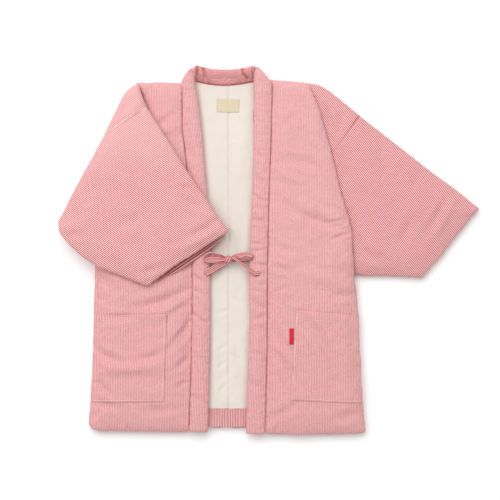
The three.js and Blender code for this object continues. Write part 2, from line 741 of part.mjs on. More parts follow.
add("back_left", backHalf(-1, leftSide), cotton);
add("back_right", backHalf(1, rightBack), cotton);
add("front_left", wall(leftGrid), cotton);
add("front_right", wall(rightGrid), cotton);
add("sleeve_right", rightSleeve(), cotton);
add("shoulder_turn_right", rightShoulderTurn(), cotton);
add("sleeve_left", leftSleeve(), cotton);
add("shoulder_turn_left", leftShoulderTurn(), cotton);
add("sleeve_left_under", leftSleeveUnder(), cotton);
add("collar_left", frontBand(leftBand, leftLength), cotton);
add("collar_right", frontBand(rightBand, rightLength), cotton);
add("collar_neck", neckBand(), cotton);
for (const [name, side, band] of [
  ["left", -1, leftBand],
  ["right", 1, rightBand],
]) {
  add("lining_" + name, insideStrip(side, band, -8, facingFrom + seamGap), cream);
  add("hem_facing_" + name, insideStrip(side, band, facingFrom, -backLength + 2), cotton);
}
add("pocket_left", pocketOn(leftGrid), cotton);
add("pocket_right", pocketOn(rightGrid), cotton);
add("neck_label", neckLabel(), labelCloth);
add("side_tab", sideTab(rightGrid), tabCloth);
for (const [name, rows] of Object.entries(bow)) add(name, ribbon(rows), cotton);
add("tie_knot", knot(), cotton);

const reach = new THREE.Box3().setFromObject(garment);
garment.position.set(-(reach.min.x + reach.max.x) / 2, -(reach.min.y + reach.max.y) / 2, -reach.min.z);

export default garment;
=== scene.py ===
import math

import bpy
import numpy as np
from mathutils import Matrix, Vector, noise
from mathutils.bvhtree import BVHTree


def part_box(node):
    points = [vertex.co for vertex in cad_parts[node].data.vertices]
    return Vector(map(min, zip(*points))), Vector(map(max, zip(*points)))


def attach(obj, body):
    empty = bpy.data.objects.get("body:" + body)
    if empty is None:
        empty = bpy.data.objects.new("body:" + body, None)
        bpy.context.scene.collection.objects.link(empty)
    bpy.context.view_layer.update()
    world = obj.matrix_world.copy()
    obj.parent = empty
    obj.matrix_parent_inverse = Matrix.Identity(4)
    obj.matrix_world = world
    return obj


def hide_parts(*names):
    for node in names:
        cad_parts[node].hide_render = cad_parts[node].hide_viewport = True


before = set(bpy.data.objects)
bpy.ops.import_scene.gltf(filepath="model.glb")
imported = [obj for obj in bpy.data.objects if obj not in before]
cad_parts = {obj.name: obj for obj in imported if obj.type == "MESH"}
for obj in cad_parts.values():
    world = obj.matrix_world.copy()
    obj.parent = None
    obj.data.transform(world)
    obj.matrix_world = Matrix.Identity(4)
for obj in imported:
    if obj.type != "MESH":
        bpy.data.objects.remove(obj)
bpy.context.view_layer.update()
scene = bpy.context.scene
mm = 0.001

# Sizes are millimetres in the garment's own frame: x from the centre back seam, y from the
# shoulder fold (less than 0 towards the hem), z up from the floor.
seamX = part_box("back_left")[1].x + 0.15 * mm
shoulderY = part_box("back_left")[1].y
print("frame loaded,", len(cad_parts), "nodes")


# mesh helpers
def place(x, y, z=0.0):
    return Vector((seamX + x * mm, shoulderY + y * mm, z * mm))


def rawPoints(piece):
    flat = np.empty(len(piece.data.vertices) * 3)
    piece.data.vertices.foreach_get("co", flat)
    return flat.reshape(-1, 3)


def readPoints(piece):
    return (rawPoints(piece) - (seamX, shoulderY, 0)) / mm


def writePoints(piece, xyz):
    piece.data.vertices.foreach_set("co", (xyz * mm + (seamX, shoulderY, 0)).ravel())
    piece.data.update()


def readNormals(piece):
    flat = np.empty(len(piece.data.vertices) * 3)
    piece.data.vertex_normals.foreach_get("vector", flat)
    return flat.reshape(-1, 3)


def writeLayer(piece, name, values):
    layer = piece.data.attributes.new(name, "FLOAT", "POINT")
    layer.data.foreach_set("value", values)


def only(piece):
    bpy.ops.object.select_all(action="DESELECT")
    piece.select_set(True)
    bpy.context.view_layer.objects.active = piece


def meshPiece(name, corners, faces):
    # a piece from corners in the garment's own sizes, with its faces turned outwards
    mesh = bpy.data.meshes.new(name)
    mesh.from_pydata([place(*c) for c in corners], [], faces)
    piece = bpy.data.objects.new(name, mesh)
    scene.collection.objects.link(piece)
    only(piece)
    bpy.ops.object.mode_set(mode="EDIT")
    bpy.ops.mesh.select_all(action="SELECT")
    bpy.ops.mesh.normals_make_consistent(inside=False)
    bpy.ops.object.mode_set(mode="OBJECT")
    return piece


def applyModifier(piece, kind, **settings):
    only(piece)
    modifier = piece.modifiers.new(kind.lower(), kind)
    for name, value in settings.items():
        setattr(modifier, name, value)
    bpy.ops.object.modifier_apply(modifier=modifier.name)


def atOrigin(piece):
    only(piece)
    bpy.ops.object.transform_apply(location=True, rotation=True, scale=True)


def rowsOf(node):
    # lowest and highest x of a CAD node at each y of its rows
    xyz = readPoints(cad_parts[node])
    ys = np.unique(np.round(xyz[:, 1], 1))
    low, high = [], []
    for y in ys:
        row = xyz[np.abs(xyz[:, 1] - y) < 0.2, 0]
        low.append(row.min())
        high.append(row.max())
    return {"y": ys, "low": np.array(low), "high": np.array(high)}


def edgeAt(rows, side, y):
    return np.interp(y, rows["y"], rows[side])


def rounded(distance, radius):
    # share of full height at a distance from a rounded edge
    left = 1 - np.clip(distance / radius, 0, 1)
    return np.sqrt(1 - left * left)


def softStep(value, low, high):
    t = np.clip((value - low) / (high - low), 0, 1)
    return t * t * (3 - 2 * t)


def lumps(xyz, size, seed):
    return np.array([noise.noise(Vector(p) / size + Vector((seed, 2.7 * seed, 0))) for p in xyz])


def creaseHeight(x, y, creases):
    # each row of creases: from, to, width, rise (below 0 for a trough) and, if it is curved, bend
    height = np.zeros(len(x))
    for (x1, y1), (x2, y2), width, rise, *curve in creases:
        bend = curve[0] if curve else 0
        length = math.hypot(x2 - x1, y2 - y1)
        ux, uy = (x2 - x1) / length, (y2 - y1) / length
        along = (x - x1) * ux + (y - y1) * uy
        share = np.clip(along / length, 0, 1)
        across = (x - x1) * uy - (y - y1) * ux + bend * np.sin(math.pi * share)
        past = np.abs(along - share * length) / width
        t = across / width
        profile = np.exp(-t * t) - 0.4 * np.exp(-(((np.abs(t) - 1.8) / 0.9) ** 2))
        height += rise * np.sin(math.pi * (0.12 + 0.76 * share)) * np.exp(-past * past) * profile
    return height


def finishMesh(piece, material, smooth=True):
    piece.data.materials.clear()
    piece.data.materials.append(material)
    only(piece)
    if smooth:
        bpy.ops.object.shade_smooth()
    else:
        bpy.ops.object.shade_smooth_by_angle(angle=math.radians(50))


# shader helpers
class Value:
    # a number socket: sums and products of these add Math nodes
    def __init__(self, finish, socket):
        self.finish = finish
        self.socket = socket

    def maths(self, operation, first, second=None, clamp=False):
        inputs = {0: first} if second is None else {0: first, 1: second}
        made = self.finish.node("ShaderNodeMath", {"operation": operation, "use_clamp": clamp}, inputs)
        return Value(self.finish, made.outputs[0])

    def __add__(self, other):
        return self.maths("ADD", self, other)

    def __radd__(self, other):
        return self.maths("ADD", other, self)

    def __sub__(self, other):
        return self.maths("SUBTRACT", self, other)

    def __rsub__(self, other):
        return self.maths("SUBTRACT", other, self)

    def __mul__(self, other):
        return self.maths("MULTIPLY", self, other)

    def __rmul__(self, other):
        return self.maths("MULTIPLY", other, self)

    def sine(self):
        return self.maths("SINE", self)

    def clamped(self):
        return self.maths("ADD", self, 0.0, clamp=True)


class Finish:
    def __init__(self, name):
        self.material = bpy.data.materials.new(name)
        self.material.use_nodes = True
        self.tree = self.material.node_tree
        self.tree.nodes.clear()

    def node(self, kind, settings, inputs):
        made = self.tree.nodes.new(kind)
        for name, value in settings.items():
            setattr(made, name, value)
        for name, value in inputs.items():
            socket = value.socket if isinstance(value, Value) else value
            if isinstance(socket, bpy.types.NodeSocket):
                self.tree.links.new(socket, made.inputs[name])
            else:
                made.inputs[name].default_value = socket
        return made

    def attribute(self, name):
        return Value(self, self.node("ShaderNodeAttribute", {"attribute_name": name}, {}).outputs["Fac"])

    def position(self):
        return self.node("ShaderNodeTexCoord", {}, {}).outputs["Object"]

    def speckle(self, scale, detail=2.0):
        made = self.node(
            "ShaderNodeTexNoise", {}, {"Vector": self.position(), "Scale": scale, "Detail": detail}
        )
        return Value(self, made.outputs["Fac"])

    def blend(self, share, first, second):
        # colours have the inputs A and B at places 6 and 7 of a Mix node
        made = self.node("ShaderNodeMix", {"data_type": "RGBA"}, {0: share, 6: first, 7: second})
        return made.outputs[2]

    def surface(self, colour, roughness, height, distance, sheen):
        bump = self.node(
            "ShaderNodeBump", {}, {"Strength": 1.0, "Distance": distance, "Height": height}
        )
        shader = self.node(
            "ShaderNodeBsdfPrincipled",
            {},
            {
                "Base Color": colour,
                "Roughness": roughness,
                "Normal": bump.outputs["Normal"],
                "Sheen Weight": sheen,
                "Sheen Roughness": 0.5,
                "Specular IOR Level": 0.2,
            },
        )
        self.node("ShaderNodeOutputMaterial", {}, {"Surface": shader.outputs["BSDF"]})
        return self.material


# cloth finishes
stripes = {
    "period": 3.55 * mm,
    "middle": (0.695, 0.352, 0.350),
    "half": (0.20, 0.33, 0.32),  # from the middle colour to a pale stripe or back to a rose one
    "sharpness": 1.5,  # how hard the edge of a stripe is
    "wander": 0.12 * mm,
    "mottle": 0.06,
    "rib": 0.12 * mm,  # height of the woven ribs
    "crumple": 8.0,  # height of the small crumples, in ribs
    "paling": 0.12,  # how much paler the cloth is where its stripes are weakened
}


def stripedCotton(name, contrast, flecks, depth=(1, 1, 1)):
    # flecks are short uneven dashes in the yarn; depth below 1 darkens red, green or blue, and several
    # copies below use it for painted shade
    finish = Finish(name)
    across = finish.attribute("across")
    drift = (finish.speckle(55.0) - 0.5) * stripes["wander"]
    wave = ((across + drift) * (2 * math.pi / stripes["period"])).sine()
    yarn = (wave * stripes["sharpness"] + 0.5).clamped()
    slub = finish.speckle(900.0, 1.0)
    wear = finish.speckle(26.0)
    fleck = finish.speckle(330.0, 1.0)
    uneven = (slub - 0.5) * (0.04 + 0.14 * flecks)
    uneven += (fleck - 0.5) * flecks * 2 + (wear - 0.5) * stripes["mottle"] * 2
    faded = finish.attribute("faded")
    share = ((yarn + uneven - 0.5) * (1 - faded) + 0.5 - faded * stripes["paling"]).clamped()
    pale = [d * (m + contrast * h) for d, m, h in zip(depth, stripes["middle"], stripes["half"])]
    rose = [d * (m - contrast * h) for d, m, h in zip(depth, stripes["middle"], stripes["half"])]
    colour = finish.blend(share, (*pale, 1), (*rose, 1))
    height = (1 - yarn) * 0.6 + slub * 0.4 + finish.speckle(110.0, 3.0) * stripes["crumple"]
    return finish.surface(colour, 0.92 - wear * 0.12, height, stripes["rib"], 0.12)


# light and dark colour, how fine the threads are, and the height of the weave
plainCloth = {
    "lining": ((0.755, 0.695, 0.632, 1), (0.685, 0.62, 0.555, 1), 1500.0, 0.06 * mm),
    "label": ((0.72, 0.615, 0.465, 1), (0.60, 0.49, 0.345, 1), 2200.0, 0.08 * mm),
    "tab": ((0.72, 0.030, 0.055, 1), (0.50, 0.012, 0.03, 1), 2600.0, 0.10 * mm),
    "thread": ((0.95, 0.76, 0.74, 1), (0.86, 0.56, 0.55, 1), 3000.0, 0.05 * mm),
    # seam: a dark rose that stands for painted shade in the grooves of seams
    # seam: a dark rose that stands for painted shade in the grooves of seams
    "seam": ((0.52, 0.12, 0.14, 1), (0.40, 0.065, 0.085, 1), 900.0, 0.05 * mm),
}


def plainCotton(name, kind):
    light, dark, fine, rib = plainCloth[kind]
    finish = Finish(name)
    inputs = {"Vector": finish.position(), "Scale": fine / 6.3, "Distortion": 1.5}
    weft = finish.node("ShaderNodeTexWave", {"bands_direction": "X"}, inputs)
    warp = finish.node("ShaderNodeTexWave", {"bands_direction": "Y"}, inputs)
    weave = Value(finish, weft.outputs["Fac"]) * 0.5 + Value(finish, warp.outputs["Fac"]) * 0.5
    cloud = finish.speckle(18.0)
    share = (weave * 0.35 + (cloud - 0.3) * 0.9).clamped()
    colour = finish.blend(share, light, dark)
    return finish.surface(colour, 0.95 - weave * 0.1, weave, rib, 0.08)


cottonCloth = stripedCotton("striped cotton", 0.42, 0.65)
biasCloth = stripedCotton("striped cotton of the sleeves", 1.04, 0.05)
# the right sleeve's copy is a little darker: painted shade, as the sleeve lies lower and beside the body
paintedShadeCloth = stripedCotton("striped cotton of the right sleeve with painted shade", 1.04, 0.05, (0.975, 0.945, 0.945))
# the cuff rolls are the sleeve's own cloth, darkened for painted shade under the overhang; the inner
# roll is darkest, as a line of painted shade
cuffShadeCloth = stripedCotton("striped cotton of the cuff rolls with painted shade", 0.5, 0.2, (0.88, 0.78, 0.78))
foldShadeCloth = stripedCotton("striped cotton in the shade of the cuff", 0.3, 0.2, (0.66, 0.46, 0.48))
# the neck band's copy is darker and deeper rose: painted shade, as its face leans away from the light
neckShadeCloth = stripedCotton("striped cotton of the neck band with painted shade", 0.22, 0.8, (0.98, 0.87, 0.86))
# the ties' copy is darker and deeper rose than the body's cloth: partly painted shade of the bow, partly
# a deeper tone of its own
tieCloth = stripedCotton("striped cotton of the ties, partly painted shade", 0.95, 0.1, (0.84, 0.67, 0.67))
# the hem facing's copy is a little darker: painted shade, as it lies low inside the back
facingShadeCloth = stripedCotton("striped cotton of the hem facing with painted shade", 0.75, 0.3, (0.93, 0.92, 0.91))
liningCloth = plainCotton("cream cotton", "lining")
labelCloth = plainCotton("woven label", "label")
tabCloth = plainCotton("red woven tab", "tab")
threadCloth = plainCotton("sewing thread", "thread")
# dark rose lines of painted shade, laid in seam grooves and under overhangs
# dark rose lines of painted shade, laid in seam grooves and under overhangs
seamShadeCloth = plainCotton("shaded seam", "seam")
print("cloth finishes ready")


def weaveAlong(piece, across, direction, roundness, closer=1.0):
    # "across" runs over the surface at right angles to the stripes, also round the edges
    normals = readNormals(piece)
    sideways = normals[:, 0] * direction[0] + normals[:, 1] * direction[1]
    turn = np.arctan2(np.abs(sideways), normals[:, 2])
    wrapped = across + np.sign(sideways) * roundness * (turn - np.sin(turn))
    writeLayer(piece, "across", wrapped * closer * mm)


def fadeStripes(piece, amount, fromY, toY):
    # stripes are weaker and the cloth paler above fromY, and at full strength below toY
    y = readPoints(piece)[:, 1]
    writeLayer(piece, "faded", amount * (1 - softStep(-y, -fromY, -toY)))


# padded pieces
def copyNodes(name, nodes):
    copies = []
    for node in nodes:
        copy = bpy.data.objects.new(name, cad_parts[node].data.copy())
        scene.collection.objects.link(copy)
        only(copy)
        bpy.ops.object.mode_set(mode="EDIT")
        bpy.ops.mesh.select_all(action="SELECT")
        bpy.ops.mesh.remove_doubles(threshold=0.01 * mm)
        bpy.ops.object.mode_set(mode="OBJECT")
        copies.append(copy)
    bpy.ops.object.select_all(action="DESELECT")
    for copy in copies:
        copy.select_set(True)
    bpy.context.view_layer.objects.active = copies[0]
    if len(copies) > 1:
        bpy.ops.object.join()
    piece = copies[0]
    piece.name = name
    piece.data.name = name
    return piece


filling = {"pressure": 4.0, "frames": 20, "quality": 4, "clear": 0.4}  # clear: kept above the floor


def swell(piece, held, cap):
    # cloth under pressure: the filling pushes the cover out between what holds it
    start = readPoints(piece)
    group = piece.vertex_groups.new(name="held")
    sides = 1 - softStep(readNormals(piece)[:, 2], 0.2, 0.8)
    weights = np.round(np.maximum(held(start), sides), 1)
    for weight in np.unique(weights[weights > 0]):
        group.add([int(i) for i in np.nonzero(weights == weight)[0]], float(weight), "REPLACE")
    only(piece)
    cover = piece.modifiers.new("filling", "CLOTH")
    cover.settings.vertex_group_mass = group.name
    cover.settings.use_pressure = True
    cover.settings.uniform_pressure_force = filling["pressure"]
    cover.settings.effector_weights.gravity = 0
    cover.settings.quality = filling["quality"]
    cover.point_cache.frame_end = filling["frames"]
    for number in range(1, filling["frames"] + 1):
        scene.frame_set(number)
    bpy.ops.object.modifier_apply(modifier=cover.name)
    scene.frame_set(1)
    piece.vertex_groups.clear()
    moved = readPoints(piece) - start
    far = np.linalg.norm(moved, axis=1)
    capped = cap * np.tanh(far / cap)
    writePoints(piece, start + moved * (capped / np.maximum(far, 1e-6))[:, None])


def pad(name, nodes, shape, held):
    piece = copyNodes(name, nodes)
    applyModifier(piece, "REMESH", mode="VOXEL", voxel_size=shape["cell"] * mm)
    applyModifier(piece, "SMOOTH", factor=0.5, iterations=shape["soften"])
    swell(piece, held, shape["cap"])
    applyModifier(piece, "SUBSURF", levels=1, render_levels=1)
    xyz = readPoints(piece)
    normals = readNormals(piece)
    upward = softStep(normals[:, 2], 0.0, 0.7)
    outward = 1 - np.abs(normals[:, 2])
    for at, reach, move in shape["pulls"]:  # middle of a pull, how far it is felt, and its move
        away = ((xyz[:, :2] - at) / reach) ** 2
        xyz += np.exp(-away.sum(axis=1))[:, None] * move
    soft = lumps(xyz, shape["lump"], shape["seed"]) * shape["lumpRise"]
    fine = lumps(xyz, shape["lump"] / 4, shape["seed"] + 5) * shape["fineRise"]
    ruffle = lumps(xyz, shape["ruffle"], shape["seed"] + 9) * shape["ruffleRise"] * outward
    xyz += normals * ((soft + fine) * upward + ruffle)[:, None]
    crease = shape["creaseRise"] * creaseHeight(xyz[:, 0], xyz[:, 1], shape["creases"])
    xyz[:, 2] += np.clip(crease, -shape["creaseDeep"], shape["creaseHigh"]) * upward
    if "seams" in shape:
        # short ripples that run into a sewn edge
        near, along = shape["seams"](xyz)
        stretched = np.column_stack([near / 30, along / shape["puckerLong"], 0 * near])
        pucker = lumps(stretched, 1.0, shape["seed"] + 14) * shape["puckerRise"] * np.exp(-near / 13)
        xyz[:, 2] += pucker * upward
    if "shaping" in shape:
        shape["shaping"](xyz, normals)
    xyz[:, 2] = np.maximum(xyz[:, 2], filling["clear"])
    writePoints(piece, xyz)
    print(name, "shaped,", len(piece.data.polygons), "faces")
    return piece


def declare(piece, nodes):
    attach(piece, "root")
    if nodes:
        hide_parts(*nodes)


frontRows = {side: rowsOf("front_" + side) for side in ("left", "right")}


def besideFront(side, length):
    # distance to the nearest sewn edge of a front, and the place along that edge
    def seams(xyz):
        rows = frontRows[side]
        toLow = np.abs(xyz[:, 0] - edgeAt(rows, "low", xyz[:, 1]))
        toHigh = np.abs(xyz[:, 0] - edgeAt(rows, "high", xyz[:, 1]))
        toHem = np.abs(xyz[:, 1] + length)
        sideways = np.minimum(toLow, toHigh)
        return np.minimum(sideways, toHem), np.where(sideways < toHem, xyz[:, 1], xyz[:, 0])

    return seams


frontLook = {
    "hemDrop": 1.5,  # how far the hem is let down
    "upperDrop": 2.5,  # and its upper layer besides
    "parted": 9,  # depth of the groove between the layers of the hem
    "toBand": 0.9,  # how far the sewn edge moves to the band
    "rise": 2.6,
}


def frontEdges(side, length, parting):
    # the hem is let down to its full length with its layers apart, and the front meets the band
    def shaping(xyz, normals):
        near = softStep(xyz[:, 1], -length + 34, -length + 6)
        upper = softStep(xyz[:, 2], parting - 1, parting + 4)
        xyz[:, 1] -= near * (frontLook["hemDrop"] + frontLook["upperDrop"] * upper)
        xyz[:, 1] += frontLook["parted"] * near * np.exp(-(((xyz[:, 2] - parting) / 2.6) ** 2))
        rows = frontRows[side]
        seam = edgeAt(rows, "high" if side == "left" else "low", xyz[:, 1])
        toBand = 1 if side == "left" else -1
        close = np.exp(-(((seam - xyz[:, 0]) / 6) ** 2)) * softStep(xyz[:, 2], 16, 20)
        xyz[:, 0] += toBand * frontLook["toBand"] * close
        xyz[:, 2] += frontLook["rise"] * close * softStep(normals[:, 2], 0.1, 0.6)

    return shaping


bodyWeakening = (0.42, -330, -620)  # how much, above which y, and none below which y
body = {
    "cell": 5.6,
    "soften": 1,
    "cap": 6,
    "lump": 62,
    "lumpRise": 2.6,
    "fineRise": 1.15,
    "creaseRise": 2.1,
    "creaseHigh": 4.0,
    "creaseDeep": 6.0,
    "puckerRise": 2.3,
    "puckerLong": 8,
    "ruffle": 15,
    "ruffleRise": 1.3,
    "held": 12,  # the lowest part, which lies on the floor, is held while the rest swells
}
bodyLeft = dict(
    body,
    seed=3,
    shaping=frontEdges("left", 764, 14.2),
    seams=besideFront("left", 764),
    pulls=[
        ((-200, 4), 24, (-9, 2, 3)),
        ((-150, 0), 40, (0, 3.5, 0)),
        ((-308, -752), 30, (-5.5, 0, 0)),
        ((-304, -600), 140, (-1.8, 0, 0)),
        ((-20, -754), 28, (0, -5, 0)),
        ((-120, -764), 60, (0, -2.5, 0)),
    ],
    creases=[
        ((-160, -96), (-122, -68), 7, -1.8),
        ((-150, -112), (-112, -96), 8, 1.2),
        ((-90, -453), (-212, -494), 10, -2.4, 8),
        ((-84, -470), (-160, -520), 9, 1.6, -6),
        ((-82, -515), (-130, -582), 8, -2.6, 7),
        ((-86, -540), (-120, -575), 5, 1.4),
        ((-88, -600), (-118, -628), 7, -1.8, 3),
        ((-90, -655), (-116, -672), 6, -1.2),
        ((-268, -516), (-208, -515), 8, -1.6),
        ((-292, -583), (-232, -616), 9, -2.4, -5),
        ((-232, -616), (-136, -588), 9, -2.0, -6),
        ((-286, -634), (-140, -628), 13, 1.9, 8),
        ((-292, -655), (-262, -682), 8, -2.0),
        ((-298, -700), (-240, -716), 8, -1.3),
        ((-190, -722), (-110, -716), 9, -1.2),
        ((-292, -420), (-252, -452), 9, -1.7),
        ((-295, -470), (-266, -484), 7, -1.3),
        ((-224, -748), (-222, -764), 4, -1.6),
    ],
)
bodyRight = dict(
    body,
    seed=8,
    shaping=frontEdges("right", 769, 14.2),
    seams=besideFront("right", 769),
    pulls=[
        ((84, 0), 30, (0, 9.5, 0)),
        ((126, 0), 28, (0, 5.5, 0)),
        ((160, 0), 20, (0, 2, 0)),
        ((306, -764), 20, (5, -1, 0)),
        ((180, -769), 130, (0, -4, 0)),
        ((298, -470), 90, (1.2, 0, 0)),
        ((20, -754), 28, (0, -5, 0)),
    ],
    creases=[
        ((106, -169), (201, -185), 11, -1.6, 5),
        ((98, -191), (157, -218), 9, 1.4),
        ((113, -242), (262, -302), 9, 1.3, -6),
        ((135, -279), (268, -324), 7, -1.5, -5),
        ((226, -346), (276, -330), 4.5, -1.9, 3),
        ((212, -308), (266, -299), 4, -1.2),
        ((229, -270), (260, -294), 4, -1.2, 2),
        ((236, -322), (270, -312), 4, 1.0),
        ((150, -506), (238, -625), 11, -1.9, 8),
        ((98, -537), (142, -594), 8, -1.8, -4),
        ((98, -594), (157, -675), 9, -1.6, 5),
        ((91, -741), (157, -704), 9, -1.7),
        ((100, -360), (150, -372), 8, -1.4),
        ((96, -402), (138, -414), 7, -1.5),
        ((160, -420), (270, -446), 14, 1.6),
        ((220, -470), (284, -462), 9, -1.4),
        ((112, -96), (150, -74), 9, -1.0),
        ((150, -40), (186, -92), 10, -1.5),
        ((240, -740), (288, -724), 9, -1.4),
        ((100, -460), (126, -452), 6, -1.2),
    ],
)


def heldLow(height):
    return lambda xyz: 1 - softStep(xyz[:, 2], height - 6, height)


bandRows = {side: rowsOf("collar_" + side) for side in ("left", "right")}


def heldOpening(side, height):
    # the back is held flat where it shows in the opening, under the lining
    def held(xyz):
        rows = bandRows[side]
        seam = np.abs(edgeAt(rows, "low" if side == "left" else "high", xyz[:, 1]))
        inside = 1 - softStep(np.abs(xyz[:, 0]), seam - 4, seam + 6)
        return np.maximum(inside, heldLow(height)(xyz))

    return held


for side, shape in (("left", bodyLeft), ("right", bodyRight)):
    nodes = ["front_" + side, "back_" + side]
    piece = pad("body_" + side, nodes, shape, heldOpening(side, shape["held"]))
    weaveAlong(piece, readPoints(piece)[:, 0], (1, 0), 15.5)
    fadeStripes(piece, *bodyWeakening)
    finishMesh(piece, cottonCloth)
    declare(piece, nodes)
    shape["piece"] = piece


# sleeves
sleeve = dict(body, cell=4.4, cap=5, lump=58, lumpRise=1.8, fineRise=0.8, creaseRise=1.7)
sleeve.update(ruffle=13, ruffleRise=0.7)
rightSleeve = dict(
    sleeve,
    cloth=paintedShadeCloth,
    seed=12,
    held=10,
    roundness=13,
    stripe=(0.8207, -0.5714),
    closer=1.034,
    pulls=[
        ((549, -275), 16, (5, -2, 0)),
        ((520, -300), 44, (3, -2, 0)),
        ((470, -370), 44, (3, -2.5, 0)),
        ((427, -428), 14, (1, -1, 0)),
        ((240, -28), 50, (1.2, 2, 0)),
        ((505, -238), 46, (1.2, 2, 0)),
        ((163, -2), 13, (0, -3, -3)),
    ],
    cuff=(549.8, -273.8),  # upper end of the cuff
    inwards=(-0.788, 0.6157),
    along=(-0.6157, -0.788),
    cuffLong=196,
    drawn=0,
    undercut=2,
    parting=13,
    creases=[
        ((483, -251), (443, -323), 9, -1.9),
        ((496, -262), (436, -352), 9, 1.2, 4),
        ((404, -300), (380, -352), 10, -1.5),
        ((300, -200), (352, -300), 16, 1.3, 9),
        ((292, -372), (350, -392), 10, -1.6),
        ((276, -330), (316, -396), 9, -1.5),
        ((250, -160), (262, -220), 9, -1.4),
        ((330, -130), (346, -176), 9, -1.2),
        ((420, -192), (404, -236), 10, -1.0),
        ((289, -68), (229, -155), 3.2, -0.6),
        ((212, -50), (226, -96), 7, -1.8),
        ((250, -62), (244, -110), 8, -1.1),
    ],
)
leftSleeve = dict(
    sleeve,
    cloth=biasCloth,
    seed=20,
    held=24,
    roundness=29,
    pulls=[
        ((-375, -316), 26, (-5.5, 1, 0)),
        ((-262, -72), 60, (-1.6, 0.8, 0)),
        ((-4, -331), 17, (5, 2, 0)),
    ],
    stripe=(0.568, -0.823),
    closer=1.012,
    fade=(0.5, -90, -230),
    cuff=(-176, -449),  # lower end of the cuff
    inwards=(-0.566, 0.824),
    along=(0.824, 0.566),
    cuffLong=205,
    drawn=2,
    undercut=4,
    parting=46.9,
    creases=[
        ((-107, -229), (-78, -236), 7, -1.6),
        ((-24, -303), (-86, -336), 9, -2.2, 4),
        ((-40, -330), (-120, -372), 10, 1.3, 4),
        ((-190, -300), (-236, -312), 14, -1.9),
        ((-262, -352), (-226, -392), 12, 1.2),
        ((-190, -150), (-150, -206), 16, 1.2, 8),
        ((-284, -210), (-246, -262), 16, -1.3, 8),
        ((-140, -402), (-196, -420), 8, -1.4),
        ((-88, -262), (-60, -276), 8, -1.5),
        ((-330, -250), (-300, -310), 16, 1.1),
        ((-178, -56), (-278, -124), 3.2, -0.6, 2),
        ((-196, -22), (-226, -60), 9, -1.5),
        ((-206, -66), (-240, -84), 8, 1.0),
    ],
)


def cuffShaping(shape):
    # the upper layer hangs over the lower one along the cuff, and is drawn in a little
    end, inwards, along = shape["cuff"], shape["inwards"], shape["along"]

    def shaping(xyz, normals):
        depth = (xyz[:, 0] - end[0]) * inwards[0] + (xyz[:, 1] - end[1]) * inwards[1]
        share = ((xyz[:, 0] - end[0]) * along[0] + (xyz[:, 1] - end[1]) * along[1]) / shape["cuffLong"]
        near = 1 - softStep(depth, 2, 30)
        drawn = near * shape["drawn"] * np.exp(-(((share - 0.34) / 0.22) ** 2))
        under = near * shape["undercut"] * softStep(shape["parting"] + 3 - xyz[:, 2], 0, 6)
        xyz[:, 0] += inwards[0] * (drawn + under)
        xyz[:, 1] += inwards[1] * (drawn + under)

    return shaping


rightSleeve["shaping"] = cuffShaping(rightSleeve)
leftSleeve["shaping"] = cuffShaping(leftSleeve)

sleeveParts = [
    ("sleeve_right_pad", ["sleeve_right", "shoulder_turn_right"], rightSleeve),
    ("sleeve_left_pad", ["sleeve_left", "shoulder_turn_left", "sleeve_left_under"], leftSleeve),
]
for name, nodes, shape in sleeveParts:
    piece = pad(name, nodes, shape, heldLow(shape["held"]))
    xyz = readPoints(piece)
    across = xyz @ np.array((*shape["stripe"], 0))
    weaveAlong(piece, across, shape["stripe"], shape["roundness"], shape["closer"])
    if "fade" in shape:
        fadeStripes(piece, *shape["fade"])
    finishMesh(piece, shape["cloth"])
    declare(piece, nodes)
    shape["piece"] = piece


# Rolled edge of the lower layer, beyond the cuff of the turned sleeve. Rows: share of the cuff,
# distance out from it, height and radius.
cuffRolls = {
    "sleeve_left_roll_inner": [
        (0.12, 0.1, 42, 1.2),
        (0.2, -0.4, 43, 1.9),
        (0.38, 0.0, 43, 2.5),
        (0.6, 0.2, 43, 2.4),
        (0.8, 0.4, 43, 2.3),
        (0.93, 0.0, 42, 1.4),
    ],
    "sleeve_left_roll": [
        (0.02, 0.3, 38, 1.2),
        (0.1, 1.2, 38, 2.0),
        (0.2, 2.2, 38, 2.6),
        (0.36, 6.0, 37, 3.0),
        (0.55, 5.8, 37, 3.0),
        (0.76, 6.4, 37, 3.0),
        (0.9, 3.2, 38, 2.6),
        (0.99, 0.6, 40, 1.4),
    ],
}


def makeRoll(name, rows, cloth):
    end, inwards, along = leftSleeve["cuff"], leftSleeve["inwards"], leftSleeve["along"]
    shares, sides = 90, 14
    table = np.array(rows)
    corners, faces = [], []
    for i in range(shares + 1):
        share = table[0, 0] + (table[-1, 0] - table[0, 0]) * i / shares
        out, high, radius = [np.interp(share, table[:, 0], table[:, k]) for k in (1, 2, 3)]
        radius *= math.sin(math.pi * min(max(i / shares, 0.03), 0.97)) ** 0.25
        radius *= 1 + 0.06 * noise.noise(Vector((share * 26, radius, 7.3)))
        reach = share * leftSleeve["cuffLong"]
        x, y = end[0] + along[0] * reach, end[1] + along[1] * reach
        for turn in range(sides):
            angle = turn * 2 * math.pi / sides
            away = out + radius * math.cos(angle)
            z = high + 1.5 * radius * math.sin(angle)
            corners.append((x - inwards[0] * away, y - inwards[1] * away, z))
    for i in range(shares):
        for turn in range(sides):
            a, b = i * sides + turn, i * sides + (turn + 1) % sides
            faces.append((a, b, b + sides, a + sides))
    faces.append(tuple(reversed(range(sides))))
    faces.append(tuple(shares * sides + turn for turn in range(sides)))
    piece = meshPiece(name, corners, faces)
    stripe = (0.556, -0.831)  # at right angles to the stripes of the lower layer
    writeLayer(piece, "across", [(c[0] * stripe[0] + c[1] * stripe[1]) * mm for c in corners])
    finishMesh(piece, cloth)
    declare(piece, [])


